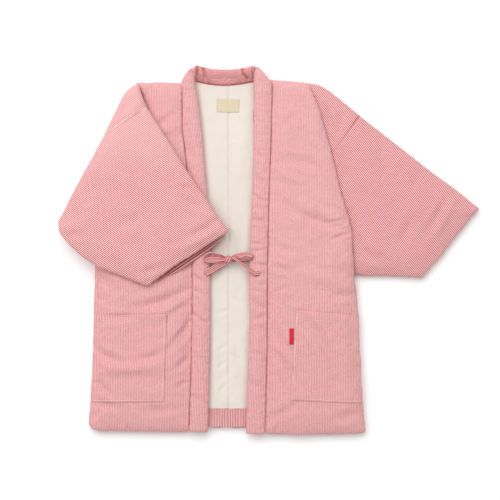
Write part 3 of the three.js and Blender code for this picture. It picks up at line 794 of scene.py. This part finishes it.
# the inner roll takes the deepest painted shade, the outer roll a lighter painted shade
for name, rows in cuffRolls.items():
    makeRoll(name, rows, foldShadeCloth if name.endswith("inner") else cuffShadeCloth)
print("cuff rolled")


# collar
bandLook = {"toFront": 0.9, "rise": 1.2, "hemDrop": 4.5}


def bandEdges(side, length):
    # the band meets the front along its seam, and its hem is let down to its full length
    def shaping(xyz, normals):
        rows = bandRows[side]
        seamSide, toFront = ("low", -1) if side == "left" else ("high", 1)
        seam = edgeAt(rows, seamSide, xyz[:, 1])
        close = np.exp(-(((seam - xyz[:, 0]) / 5) ** 2))
        xyz[:, 0] += toFront * bandLook["toFront"] * close
        xyz[:, 2] += bandLook["rise"] * close * softStep(normals[:, 2], 0.2, 0.7)
        xyz[:, 1] -= bandLook["hemDrop"] * (1 - softStep(xyz[:, 1], -length + 4, -length + 30))

    return shaping


def besideBand(side):
    def seams(xyz):
        rows = bandRows[side]
        toLow = np.abs(xyz[:, 0] - edgeAt(rows, "low", xyz[:, 1]))
        toHigh = np.abs(xyz[:, 0] - edgeAt(rows, "high", xyz[:, 1]))
        return np.minimum(toLow, toHigh), xyz[:, 1]

    return seams


band = dict(body, cell=3.4, cap=4, lump=34, lumpRise=1.0, fineRise=0.8)
band.update(ruffle=12, ruffleRise=0.8, puckerRise=1.6, creaseHigh=1.2, held=22)
bandLeft = dict(
    band,
    seed=31,
    shaping=bandEdges("left", 764),
    seams=besideBand("left"),
    pulls=[
        ((-78, 36), 13, (2, -2, -3)),
        ((-98, 14), 22, (-2.5, 1.5, 0)),
        ((-68, 2), 24, (-3.5, 0, 0)),
    ],
    creases=[
        ((-92, -500), (-60, -520), 5, -1.6),
        ((-70, -522), (-46, -528), 5, -1.3),
        ((-78, -426), (-54, -440), 6, -1.6),
        ((-80, -456), (-60, -462), 5, -1.1),
        ((-74, -600), (-52, -612), 6, -1.0),
        ((-84, -690), (-58, -700), 6, -1.0),
        ((-92, -60), (-74, -92), 6, -1.2),
        ((-92, 34), (-74, 17), 2.6, -4.5),
        ((-84, 36), (-72, 26), 2.6, 2.0),
        ((-90, -150), (-70, -172), 7, -1.0),
    ],
)
bandRight = dict(
    band,
    seed=36,
    shaping=bandEdges("right", 769),
    seams=besideBand("right"),
    pulls=[
        ((64, 36), 12, (-1, -1, -3)),
        ((74, 20), 18, (2, 1.5, 0)),
    ],
    creases=[
        ((57, 38), (53, 18), 2.6, -3.5),
        ((56, -150), (74, -168), 6, -1.1),
        ((58, -206), (80, -224), 6, -1.5),
        ((54, -246), (74, -262), 5, -1.4),
        ((52, -300), (82, -306), 6, -1.9),
        ((50, -332), (78, -340), 5, 1.3),
        ((48, -352), (76, -358), 5, -1.8),
        ((56, -370), (84, -366), 5, -1.6),
        ((60, -400), (86, -404), 6, -2.0),
        ((50, -424), (78, -420), 6, -1.7),
        ((48, -452), (72, -462), 5, -1.1),
        ((50, -478), (76, -500), 7, -1.8),
        ((56, -520), (80, -514), 6, -1.3),
        ((46, -590), (70, -600), 6, -1.1),
        ((44, -660), (72, -672), 7, -1.0),
    ],
)
neckBand = dict(
    band,
    seed=40,
    cell=2.6,
    lump=20,
    lumpRise=1.8,
    creaseHigh=0.9,
    creaseDeep=10.0,
    pulls=[
        ((-70, 34), 16, (-5, 5, 3)),
        ((57, 34), 15, (5, 5, 3)),
        ((-72, 2), 15, (-5, 5, 2)),
        ((58, 2), 14, (4, 4, 2)),
        ((-10, 0), 38, (0, -9, 0)),
    ],
    creases=[
        ((-67, 40), (-70, 6), 2.8, -4.2),
        ((-56, 40), (-51, 12), 3, -5.6, -1),
        ((-62, 34), (-61, 8), 4, 2.2),
        ((-45, 34), (-42, 10), 5, 1.6),
        ((28, 38), (33, 17), 2.6, -5.8),
        ((33, 20), (44, 9), 2.6, -5.6),
        ((40, 30), (45, 18), 4, 3.2),
        ((54, 36), (54, 6), 2.8, -3.0),
        ((-30, 30), (20, 26), 6, 1.0),
        ((-44, 12), (12, 9), 5, -0.8),
    ],
)
for side, shape in (("left", bandLeft), ("right", bandRight)):
    node = "collar_" + side
    piece = pad(node + "_pad", [node], shape, heldLow(shape["held"]))
    xyz = readPoints(piece)
    rows = bandRows[side]
    middle = (edgeAt(rows, "low", xyz[:, 1]) + edgeAt(rows, "high", xyz[:, 1])) / 2
    weaveAlong(piece, xyz[:, 0] - middle, (1, 0), 9.5)
    fadeStripes(piece, *bodyWeakening)
    finishMesh(piece, cottonCloth)
    declare(piece, [node])
    shape["piece"] = piece


def heldNeckline(xyz):
    return 1 - softStep(xyz[:, 1], 2, 8)


neckPiece = pad("collar_neck_pad", ["collar_neck"], neckBand, heldNeckline)
xyz = readPoints(neckPiece)
weaveAlong(neckPiece, (xyz[:, 1] * 0.75 + xyz[:, 2] * 0.66), (0, 1), 7)
finishMesh(neckPiece, neckShadeCloth)
declare(neckPiece, ["collar_neck"])


# cloth laid on the padding
def surfaceUnder(pieces):
    # height of the highest of some pieces at a place
    trees = []
    for piece in pieces:
        mesh = piece.data
        faces = [face.vertices for face in mesh.polygons]
        trees.append(BVHTree.FromPolygons([v.co for v in mesh.vertices], faces))

    def height(x, y):
        top = 0.0
        for tree in trees:
            hit = tree.ray_cast(place(x, y, 200), Vector((0, 0, -1)))[0]
            if hit:
                top = max(top, hit.z / mm)
        return top

    return height


def gridSheet(name, across, along, step):
    # a flat grid with u and v from 0 to 1, shaped afterwards
    columns, rows = max(2, round(across / step)), max(2, round(along / step))
    bpy.ops.object.select_all(action="DESELECT")
    bpy.ops.mesh.primitive_grid_add(
        x_subdivisions=columns, y_subdivisions=rows, size=1, location=(0.5, 0.5, 0)
    )
    piece = bpy.context.object
    atOrigin(piece)
    piece.name = name
    piece.data.name = name
    uv = rawPoints(piece)
    return piece, uv[:, 0].copy(), uv[:, 1].copy()


def thicken(piece, thick, edge):
    applyModifier(piece, "SOLIDIFY", thickness=thick * mm, offset=1.0, use_even_offset=True)
    corner = {"limit_method": "ANGLE", "angle_limit": math.radians(50)}
    applyModifier(piece, "BEVEL", width=edge * mm, segments=2, **corner)


pocketLook = {
    "thick": 1.5,
    "hem": 19,  # depth of the turned hem at the mouth
    "hemLift": 0.9,
    "step": 2.2,
    "inset": 3.4,  # from the edge to the row of stitches
    "lowest": 18,  # the side of the body is rounded below this height
    "inside": 2.0,  # how far the outer edge keeps inside the side of the body
    "left": {"corners": ((-306, -510), (-136, -508), (-142.5, -700), (-310, -702)), "seed": 51},
    "right": {"corners": ((148, -499), (302, -511), (308, -704), (136.5, -697)), "seed": 55},
}


def stitchRun(points, pitch, long, radius):
    # corners and faces of short stitches laid end to end along a line of points
    path = np.array(points)
    steps = np.linalg.norm(np.diff(path, axis=0), axis=1)
    reach = np.concatenate([[0], np.cumsum(steps)])
    corners, faces = [], []
    count = int(reach[-1] // pitch)
    for i in range(count):
        middle = (i + 0.5) * reach[-1] / count
        ends = [
            np.array([np.interp(middle + share * long, reach, path[:, k]) for k in range(3)])
            for share in (-0.5, 0, 0.5)
        ]
        ends[1][2] += radius * 0.5
        along = ends[2] - ends[0]
        level = np.array([-along[1], along[0], 0]) / max(math.hypot(along[0], along[1]), 1e-6)
        first = len(corners)
        for ring, wide in zip(ends, (0.55, 1.0, 0.55)):
            for turn in range(6):
                angle = turn * math.pi / 3
                aside = level * math.cos(angle) * radius * wide
                corners.append(ring + aside + np.array([0, 0, math.sin(angle) * radius * wide]))
        for ring in range(2):
            for turn in range(6):
                a = first + ring * 6 + turn
                b = first + ring * 6 + (turn + 1) % 6
                faces.append((a, b, b + 6, a + 6))
        faces.append(tuple(first + 5 - k for k in range(6)))
        faces.append(tuple(first + 12 + k for k in range(6)))
    return corners, faces


def stitches(name, runs, pitch=3.4, long=2.5, radius=0.32, material=threadCloth):
    corners, faces = [], []
    for run in runs:
        moreCorners, moreFaces = stitchRun(run, pitch, long, radius)
        faces += [tuple(i + len(corners) for i in face) for face in moreFaces]
        corners += moreCorners
    piece = meshPiece(name, corners, faces)
    finishMesh(piece, material)
    declare(piece, [])


def makePocket(side, carrier):
    look = pocketLook[side]
    topLeft, topRight, lowRight, lowLeft = [np.array(c) for c in look["corners"]]
    wide = np.linalg.norm(topRight - topLeft)
    long = np.linalg.norm(lowLeft - topLeft)
    # the outer edge lies along the side seam, however the padding has moved it
    outline = readPoints(carrier)
    levels = np.linspace(-720, -480, 41)
    sideX = []
    for level in levels:
        xs = outline[(np.abs(outline[:, 1] - level) < 8) & (outline[:, 2] > pocketLook["lowest"]), 0]
        inside = pocketLook["inside"]
        sideX.append(np.min(xs) + inside if side == "left" else np.max(xs) - inside)
    inner = (topRight, lowRight) if side == "left" else (topLeft, lowLeft)

    def spread(u, down):
        # places on the pocket from their shares across and down
        top = topLeft[1] * (1 - u) + topRight[1] * u
        low = lowLeft[1] * (1 - u) + lowRight[1] * u
        y = top * (1 - down) + low * down
        innerX = inner[0][0] + (inner[1][0] - inner[0][0]) * down
        outwards = 1 - u if side == "left" else u
        return innerX + (np.interp(y, levels, sideX) - innerX) * outwards, y

    piece, u, v = gridSheet("pocket_" + side + "_cloth", wide, long, pocketLook["step"])
    down = 1 - v
    xy = np.column_stack(spread(u, down))
    under = surfaceUnder([carrier])
    height = np.array([max(under(x, y), pocketLook["lowest"]) for x, y in xy])
    edge = np.minimum(np.minimum(u, 1 - u) * wide, np.minimum(v, 1 - v) * long)
    belowMouth = down * long
    hem = 1 - softStep(belowMouth, pocketLook["hem"] - 1.5, pocketLook["hem"] + 1.0)
    puff = lumps(np.column_stack([xy, np.zeros(len(xy))]), 26, look["seed"]) * 0.5
    lift = 0.35 + 0.9 * rounded(edge, 9) + pocketLook["hemLift"] * hem + puff * rounded(edge, 20)
    groove = np.exp(-(((belowMouth - pocketLook["hem"]) / 1.4) ** 2)) * 0.6
    groove += np.exp(-(((edge - pocketLook["inset"]) / 1.4) ** 2)) * 0.3 * (down > 0.02)
    xyz = np.column_stack([xy, height + np.maximum(lift - groove, 0.25)])
    writePoints(piece, xyz)
    writeLayer(piece, "across", xyz[:, 0] * mm)
    thicken(piece, pocketLook["thick"], 0.5)
    finishMesh(piece, cottonCloth, smooth=False)
    declare(piece, ["pocket_" + side])
    over = surfaceUnder([piece])

    def sewn(start, end):
        shares = np.linspace(start, end, 61)
        xs, ys = spread(shares[:, 0], shares[:, 1])
        return [(x, y, max(over(x, y), pocketLook["lowest"]) + 0.1) for x, y in zip(xs, ys)]

    near, far = pocketLook["inset"] / wide, 1 - pocketLook["inset"] / wide
    foot = 1 - pocketLook["inset"] / long
    hemShare = pocketLook["hem"] / long
    innerShare = far if side == "left" else near
    runs = [
        sewn((near, hemShare), (far, hemShare)),
        sewn((near, foot), (far, foot)),
        sewn((innerShare, 0.01), (innerShare, foot)),
    ]
    stitches("pocket_" + side + "_stitches", runs, 3.4, 2.8, 0.6)
    print("pocket", side, "laid on")


seamLook = {
    "armhole": 0.55,  # radius of the lines between body and sleeve: a painted highlight on the left, painted shade on the right
    "band": 0.85,  # radius of the line of painted shade between front and band
    "neck": 1.8,
    "pitch": 2.2,
    "sleeveLift": 0.25,  # how far the armhole line stands over the sleeve
    "bandSunk": 0.6,  # how deep the band's line lies in its groove
}
# the left line is pale thread colour, a painted highlight on the seam's ridge; the right line is dark,
# painted shade in its groove
armholeSeams = {
    "left": {
        "line": [(-177.5, -55.5), (-196, -66), (-217, -78), (-247, -99), (-276, -122)],
        "sleeve": leftSleeve,
        "cloth": threadCloth,
    },
    "right": {
        "line": [(289, -69.5), (270, -96), (250, -124), (230, -152)],
        "sleeve": rightSleeve,
        "cloth": seamShadeCloth,
    },
}


def seamLine(name, corners, heightAt, radius, material):
    # a thin line laid along a seam, through corners of x and y; its material gives the painted shade or
    # painted highlight of that seam
    line = np.array(corners, float)
    reach = np.concatenate([[0], np.cumsum(np.linalg.norm(np.diff(line, axis=0), axis=1))])
    along = np.linspace(0, reach[-1], int(reach[-1] / seamLook["pitch"]) + 1)
    xs, ys = np.interp(along, reach, line[:, 0]), np.interp(along, reach, line[:, 1])
    path = [(x, y, heightAt(x, y)) for x, y in zip(xs, ys)]
    path = [point for point in path if point[2] > 1]
    stitches(name, [path], seamLook["pitch"], seamLook["pitch"] * 1.1, radius, material)


for side, look in armholeSeams.items():
    onSleeve = surfaceUnder([look["sleeve"]["piece"]])

    def overSleeve(x, y):
        return onSleeve(x, y) + seamLook["sleeveLift"]

    seamLine("armhole_seam_painted_light_" + side, look["line"], overSleeve, seamLook["armhole"], look["cloth"])

# dark lines of painted shade in the grooves between the fronts and the bands
# dark lines of painted shade in the grooves between the fronts and the bands
for side, strip, front in (("left", bandLeft, bodyLeft), ("right", bandRight, bodyRight)):
    bandTop, frontTop = surfaceUnder([strip["piece"]]), surfaceUnder([front["piece"]])
    toFront = -1 if side == "left" else 1
    seamSide = "low" if side == "left" else "high"

    def inGroove(x, y):
        return min(bandTop(x - toFront * 2, y), frontTop(x + toFront * 2, y)) - seamLook["bandSunk"]

    levels = np.arange(-2, -758, -6)
    corners = [(edgeAt(bandRows[side], seamSide, y) + toFront * 0.2, y) for y in levels]
    seamLine("band_seam_painted_shade_" + side, corners, inGroove, seamLook["band"], seamShadeCloth)

makePocket("left", bodyLeft["piece"])
makePocket("right", bodyRight["piece"])


# lining and facing
liningLook = {
    "rest": 14.5,  # lowest height, over the padded back
    "thick": 1.0,
    "step": 3.2,
}
# height of the swelling, creases, and how much longer than its solid above and below
liningLook["lining"] = (
    3.4,
    [
        ((-36, -545), (-30, -690), 8, 1.3, 3),
        ((-28, -330), (-30, -560), 10, -1.0, 4),
        ((12, -560), (30, -640), 8, -1.1),
        ((-4, -578), (-24, -590), 4, -0.9),
        ((-4, -612), (-26, -630), 4, -0.9),
        ((4, -596), (22, -610), 4, -0.9),
        ((4, -640), (20, -656), 4, -0.8),
        ((-4, -662), (-20, -680), 4, -0.8),
        ((-40, -120), (-26, -260), 12, 0.9),
        ((34, -60), (22, -220), 12, 0.8),
        ((30, -300), (16, -420), 9, -0.8),
        ((2, -470), (30, -486), 5, -0.8),
        ((-2, -500), (-26, -508), 5, -0.8),
    ],
    (12, 0),
)
liningLook["facing"] = (
    2.2,
    [
        ((-28, -712), (-26, -756), 4, -1.2),
        ((-14, -714), (-16, -740), 3, 0.9),
        ((-6, -712), (-3, -756), 3, -1.1),
        ((8, -714), (6, -750), 3, 1.0),
        ((20, -712), (22, -756), 4, -1.1),
    ],
    (0, 4),
)


def insideSheet(node, side, material, kind):
    crown, creases, grown = liningLook[kind]
    sign = -1 if side == "left" else 1
    rows = rowsOf(node)
    outer = "low" if side == "left" else "high"
    fromY, toY = rows["y"].max() + grown[0], rows["y"].min() - grown[1]
    wide = np.abs(rows[outer]).mean()
    piece, u, v = gridSheet(node + "_cloth", wide, fromY - toY, liningLook["step"])
    y = toY + (fromY - toY) * v
    inner = np.abs(edgeAt(bandRows[side], "high" if side == "left" else "low", y))
    reach = np.abs(edgeAt(rows, outer, y)) - 0.15 + 14 * softStep(y, -40, 4)
    share = 1 - u if side == "left" else u
    out = 0.15 + reach * share
    x = sign * out
    shape = rounded(np.maximum(inner - 2 - out, 0), 16) * (0.12 + 0.88 * rounded(out, 9))
    wrinkle = 1.7 * creaseHeight(x, y, creases) * rounded(np.maximum(inner - 3 - out, 0), 10)
    pucker = lumps(np.column_stack([x * 0.5, y, 0 * y]), 11, 61) * np.exp(-((out / 13) ** 2))
    pucker *= 0.8 + 1.2 * softStep(-y, 480, 620)
    puff = lumps(np.column_stack([x, y, 0 * y]), 46, 64) * 0.9
    puff = puff + lumps(np.column_stack([x, y * 0.6, 0 * y]), 13, 68) * 0.7
    z = liningLook["rest"] + shape * (crown + puff) + wrinkle + pucker * shape
    writePoints(piece, np.column_stack([x, y, np.maximum(z, liningLook["rest"])]))
    writeLayer(piece, "across", x * mm)
    thicken(piece, liningLook["thick"], 0.35)
    finishMesh(piece, material, smooth=False)
    declare(piece, [node])
    (fromY - toY) * mm
    "body_" + side


for side in ("left", "right"):
    insideSheet("lining_" + side, side, liningCloth, "lining")
    insideSheet("hem_facing_" + side, side, facingShadeCloth, "facing")
liningTop = surfaceUnder([bpy.data.objects["lining_" + side + "_cloth"] for side in ("left", "right")])
neckline = [(-72, 6), (-62, 3), (-48, 0), (-30, -2.4), (-14, -3.4)]
neckline += [(9, -2.6), (29, -0.2), (42, 2.6), (56, 6)]


def overLining(x, y):
    return max(liningTop(x, y), 16) + 0.8


# a dark line of painted shade where the neck band overhangs the lining
# a dark line of painted shade where the neck band overhangs the lining
seamLine("neck_seam_painted_shade", neckline, overLining, seamLook["neck"], seamShadeCloth)
print("lining laid in")


# label and tab
labelLook = {"at": (-1.5, -49), "wide": 50, "long": 29, "thick": 0.7, "turn": -0.02, "step": 1.6}


def makeLabel():
    piece, u, v = gridSheet("neck_label_cloth", labelLook["wide"], labelLook["long"], labelLook["step"])
    dx, dy = (u - 0.5) * labelLook["wide"], (v - 0.5) * labelLook["long"]
    cosine, sine = math.cos(labelLook["turn"]), math.sin(labelLook["turn"])
    x = labelLook["at"][0] + dx * cosine - dy * sine
    y = labelLook["at"][1] + dx * sine + dy * cosine
    edge = np.minimum(labelLook["wide"] / 2 - np.abs(dx), labelLook["long"] / 2 - np.abs(dy))
    height = np.array([liningTop(a, b) for a, b in zip(x, y)])
    bridged = np.maximum(height, height.max() - 1.4)
    z = bridged + 0.3 + 0.35 * rounded(edge, 4)
    writePoints(piece, np.column_stack([x, y, z]))
    thicken(piece, labelLook["thick"], 0.25)
    finishMesh(piece, labelCloth, smooth=False)
    declare(piece, ["neck_label"])
    over = surfaceUnder([piece])
    halfWide, halfLong = labelLook["wide"] / 2 - 1.6, labelLook["long"] / 2 - 1.6
    square = [(-halfWide, -halfLong), (halfWide, -halfLong), (halfWide, halfLong), (-halfWide, halfLong)]
    runs = []
    for (ax, ay), (bx, by) in zip(square, square[1:] + square[:1]):
        line = []
        for i in range(21):
            s = i / 20
            px, py = ax + (bx - ax) * s, ay + (by - ay) * s
            wx = labelLook["at"][0] + px * cosine - py * sine
            wy = labelLook["at"][1] + px * sine + py * cosine
            line.append((wx, wy, over(wx, wy) + 0.05))
        runs.append(line)
    stitches("neck_label_stitches", runs, 2.4, 1.8, 0.22, labelCloth)


makeLabel()

tabLook = {"wide": 5.8, "fromY": -540, "toY": -574, "thick": 1.4, "lift": 0.4}


def makeTab():
    piece, u, v = gridSheet("side_tab_cloth", tabLook["wide"], tabLook["fromY"] - tabLook["toY"], 0.8)
    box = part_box("side_tab")
    left = (box[0].x - seamX) / mm
    right = (box[1].x - seamX) / mm
    x = left + (right - left) * u
    y = tabLook["toY"] + (tabLook["fromY"] - tabLook["toY"]) * v
    carrier = surfaceUnder([bodyRight["piece"]])
    edge = np.minimum(u, np.minimum(v, 1 - v) * 5) * (right - left)
    z = np.array([carrier(a, b) for a, b in zip(x, y)]) + tabLook["lift"] + 0.7 * rounded(edge, 2.2)
    writePoints(piece, np.column_stack([x, y, z]))
    thicken(piece, tabLook["thick"], 0.45)
    finishMesh(piece, tabCloth, smooth=False)
    declare(piece, ["side_tab"])


makeTab()
print("label and tab sewn on")


# ties
# Each ribbon is a row of places: x, y, z, width and tilt (0 lies flat, 90 stands on edge).
tieLook = {"edgeThick": 2.3, "turns": 7}
ties = {
    "tie_loop_left": [
        (-8, -385, 41, 8, 50),
        (-18, -380, 42.5, 11, 54),
        (-30, -376.8, 43, 14, 56),
        (-41, -375.5, 43, 14, 64),
        (-48.5, -380, 42.5, 14, 58),
        (-49.5, -386, 41.5, 15, 34),
        (-42, -388.5, 41, 16, 20),
        (-28, -388.5, 41, 14, 18),
        (-8, -388.5, 40, 9, 36),
    ],
    "tie_loop_right": [
        (7.7, -385, 41, 8, 46),
        (18, -379.5, 42.3, 11, 46),
        (31, -377, 43, 13, 52),
        (44, -377, 43, 14, 60),
        (53, -380.8, 42.5, 13, 70),
        (47, -385.2, 42, 15, 54),
        (35, -386.6, 41.5, 15, 48),
        (21, -387, 41, 12, 46),
        (8, -387.5, 40, 8, 50),
    ],
    "tie_tail_left": [
        (-4, -392, 35.5, 9, 20),
        (-16, -399, 36, 13, 12),
        (-33, -409, 36.2, 14, 6),
        (-52, -420, 36.3, 14, 2),
    ],
    "tie_tail_right": [
        (7, -384, 44, 7, 50),
        (14, -385.5, 46.5, 6.5, 34),
        (25, -394.5, 43.5, 6.5, 30),
        (37, -404.5, 40, 7, 30),
        (49, -413.5, 39.5, 8, 26),
        (58, -418.5, 37.8, 9, 16),
        (67, -417.5, 36.4, 10, 4),
    ],
    "tie_root_left": [(-40.3, -391, 25, 11, 8), (-24, -390.5, 25.4, 10, 6), (-4, -389, 30.3, 8, 0)],
    "tie_root_right": [(44.4, -389, 25, 11, 8), (28, -389.5, 25.4, 10, 6), (3, -389, 30.3, 8, 0)],
}


def throughRows(rows, spot, column):
    # smooth curve through one column of a table, at a spot between its rows
    k = min(int(spot), len(rows) - 2)
    t = spot - k
    p0, p1, p2, p3 = [rows[min(max(k + i, 0), len(rows) - 1)][column] for i in (-1, 0, 1, 2)]
    squared = (2 * p0 - 5 * p1 + 4 * p2 - p3) * t**2
    cubed = (3 * p1 - p0 - 3 * p2 + p3) * t**3
    return 0.5 * (2 * p1 + (p2 - p0) * t + squared + cubed)


def makeTie(name, rows):
    count = (len(rows) - 1) * tieLook["turns"]
    # across the ribbon: -1 to 1, thicker beside its stitched edges
    profile = [(-1.0, 0.0), (-0.96, 0.75), (-0.82, 1.0), (-0.55, 0.78), (-0.2, 0.74)]
    profile += [(0.2, 0.74), (0.55, 0.78), (0.82, 1.0), (0.96, 0.75)]
    ring = profile + [(1.0, 0.0)] + [(a, -b) for a, b in reversed(profile[1:])]
    corners, faces, acrossValues = [], [], []
    for i in range(count + 1):
        spot = i / tieLook["turns"]
        centre = Vector([throughRows(rows, spot, k) for k in range(3)])
        ahead = Vector([throughRows(rows, min(spot + 0.05, len(rows) - 1), k) for k in range(3)])
        behind = Vector([throughRows(rows, max(spot - 0.05, 0), k) for k in range(3)])
        tangent = (ahead - behind).normalized()
        width = throughRows(rows, spot, 3)
        lean = math.radians(throughRows(rows, spot, 4))
        up = Vector((0, 0, 1))
        level = tangent.cross(up).normalized()
        side = level * math.cos(lean) + up * math.sin(lean)
        side = (side - tangent * side.dot(tangent)).normalized()
        outward = side.cross(tangent).normalized()
        cup = 0.9 * math.sin(3.1 * spot + 0.4)  # the ribbon bends a little across its width
        for a, b in ring:
            offset = b * tieLook["edgeThick"] / 2 + cup * (a * a - 0.4)
            p = centre + side * (a * width / 2) + outward * offset
            corners.append((p.x, p.y, p.z))
            acrossValues.append((a * width / 2 + (0.6 if b < 0 else 0)) * mm)
    around = len(ring)
    for i in range(count):
        for j in range(around):
            a, b = i * around + j, i * around + (j + 1) % around
            faces.append((a, b, b + around, a + around))
    faces.append(tuple(reversed(range(around))))
    faces.append(tuple(count * around + j for j in range(around)))
    piece = meshPiece(name + "_ribbon", corners, faces)
    writeLayer(piece, "across", acrossValues)
    applyModifier(piece, "SUBSURF", levels=1, render_levels=1)
    finishMesh(piece, tieCloth)
    declare(piece, [name])
    wide = max(10.0, sum(row[3] for row in rows) / len(rows))
    wide * mm


for name, rows in ties.items():
    makeTie(name, rows)

knotLook = {"at": (-0.5, -388.5, 38), "size": (19, 17, 14), "folds": 3}


def makeKnot():
    bpy.ops.object.select_all(action="DESELECT")
    bpy.ops.mesh.primitive_uv_sphere_add(segments=64, ring_count=40, radius=0.5, location=(0, 0, 0))
    piece = bpy.context.object
    piece.name = "tie_knot_wrap"
    piece.data.name = piece.name
    ball = rawPoints(piece)
    long, wide, high = knotLook["size"]
    # a strap wrapped round: square across its width, with folds running round it
    boxy = np.sign(ball[:, 0]) * 0.5 * np.abs(2 * ball[:, 0]) ** 0.62
    folds = 1 + 0.075 * np.cos(2 * math.pi * knotLook["folds"] * (boxy + 0.18 * ball[:, 1]) + 0.5)
    xyz = np.column_stack([boxy * long * 0.92, ball[:, 1] * wide * folds, ball[:, 2] * high * folds])
    writePoints(piece, xyz + knotLook["at"])
    writeLayer(piece, "across", (xyz[:, 0] + 0.3 * xyz[:, 1]) * mm)
    finishMesh(piece, tieCloth)
    declare(piece, ["tie_knot"])


makeKnot()
threads = [
    [(1, -396, 36), (2, -400, 34), (4.5, -402, 33), (3.5, -398, 34)],
    [(-94, -757, 24), (-90, -759, 25.5), (-87, -762, 24)],
]
stitches("thread_ends", threads, 1.2, 1.3, 0.5)
print("ties knotted")


# floor, light and camera
studio = {
    "floor": 8.0,
    "cameraHeight": 3.2,
    "frameWidth": 1.1,  # width of the picture at the cloth
    "middle": (47.1, -367.4),
    "clothHeight": 0.03,
    "key": 137.0,
    "fill": 0.63,
    "window": (4.6, 3.2),  # width and height of the light
    "windowFrom": (-0.9, 1.8, 3.6),  # from the middle of the picture
    "floorColour": (0.97, 0.97, 0.97, 1),
}


def makeFloor():
    bpy.ops.object.select_all(action="DESELECT")
    bpy.ops.mesh.primitive_plane_add(size=studio["floor"], location=(0, 0, 0))
    floor = bpy.context.object
    floor.name = "floor"
    finish = Finish("pale floor")
    inputs = {"Base Color": studio["floorColour"], "Roughness": 0.9, "Specular IOR Level": 0.1}
    shader = finish.node("ShaderNodeBsdfPrincipled", {}, inputs)
    finish.node("ShaderNodeOutputMaterial", {}, {"Surface": shader.outputs["BSDF"]})
    floor.data.materials.append(finish.material)


def makeLight():
    middle = place(*studio["middle"])
    lamp = bpy.data.lights.new("window", "AREA")
    lamp.shape = "RECTANGLE"
    lamp.size, lamp.size_y = studio["window"]
    lamp.energy = studio["key"]
    window = bpy.data.objects.new("window", lamp)
    window.location = middle + Vector(studio["windowFrom"])
    window.rotation_euler = (middle - window.location).to_track_quat("-Z", "Y").to_euler()
    scene.collection.objects.link(window)
    world = bpy.data.worlds.new("studio")
    world.use_nodes = True
    world.node_tree.nodes["Background"].inputs["Color"].default_value = (1, 1, 1, 1)
    world.node_tree.nodes["Background"].inputs["Strength"].default_value = studio["fill"]
    scene.world = world


def makeCamera():
    lens = bpy.data.cameras.new("camera")
    lens.sensor_width = 36
    away = studio["cameraHeight"]
    lens.lens = lens.sensor_width * away / studio["frameWidth"]
    lens.clip_end = 100
    camera = bpy.data.objects.new("camera", lens)
    camera.location = place(*studio["middle"]) + Vector((0, 0, away + studio["clothHeight"]))
    scene.collection.objects.link(camera)
    scene.camera = camera


makeFloor()
makeLight()
makeCamera()
scene.view_settings.view_transform = "Standard"
print("studio ready")
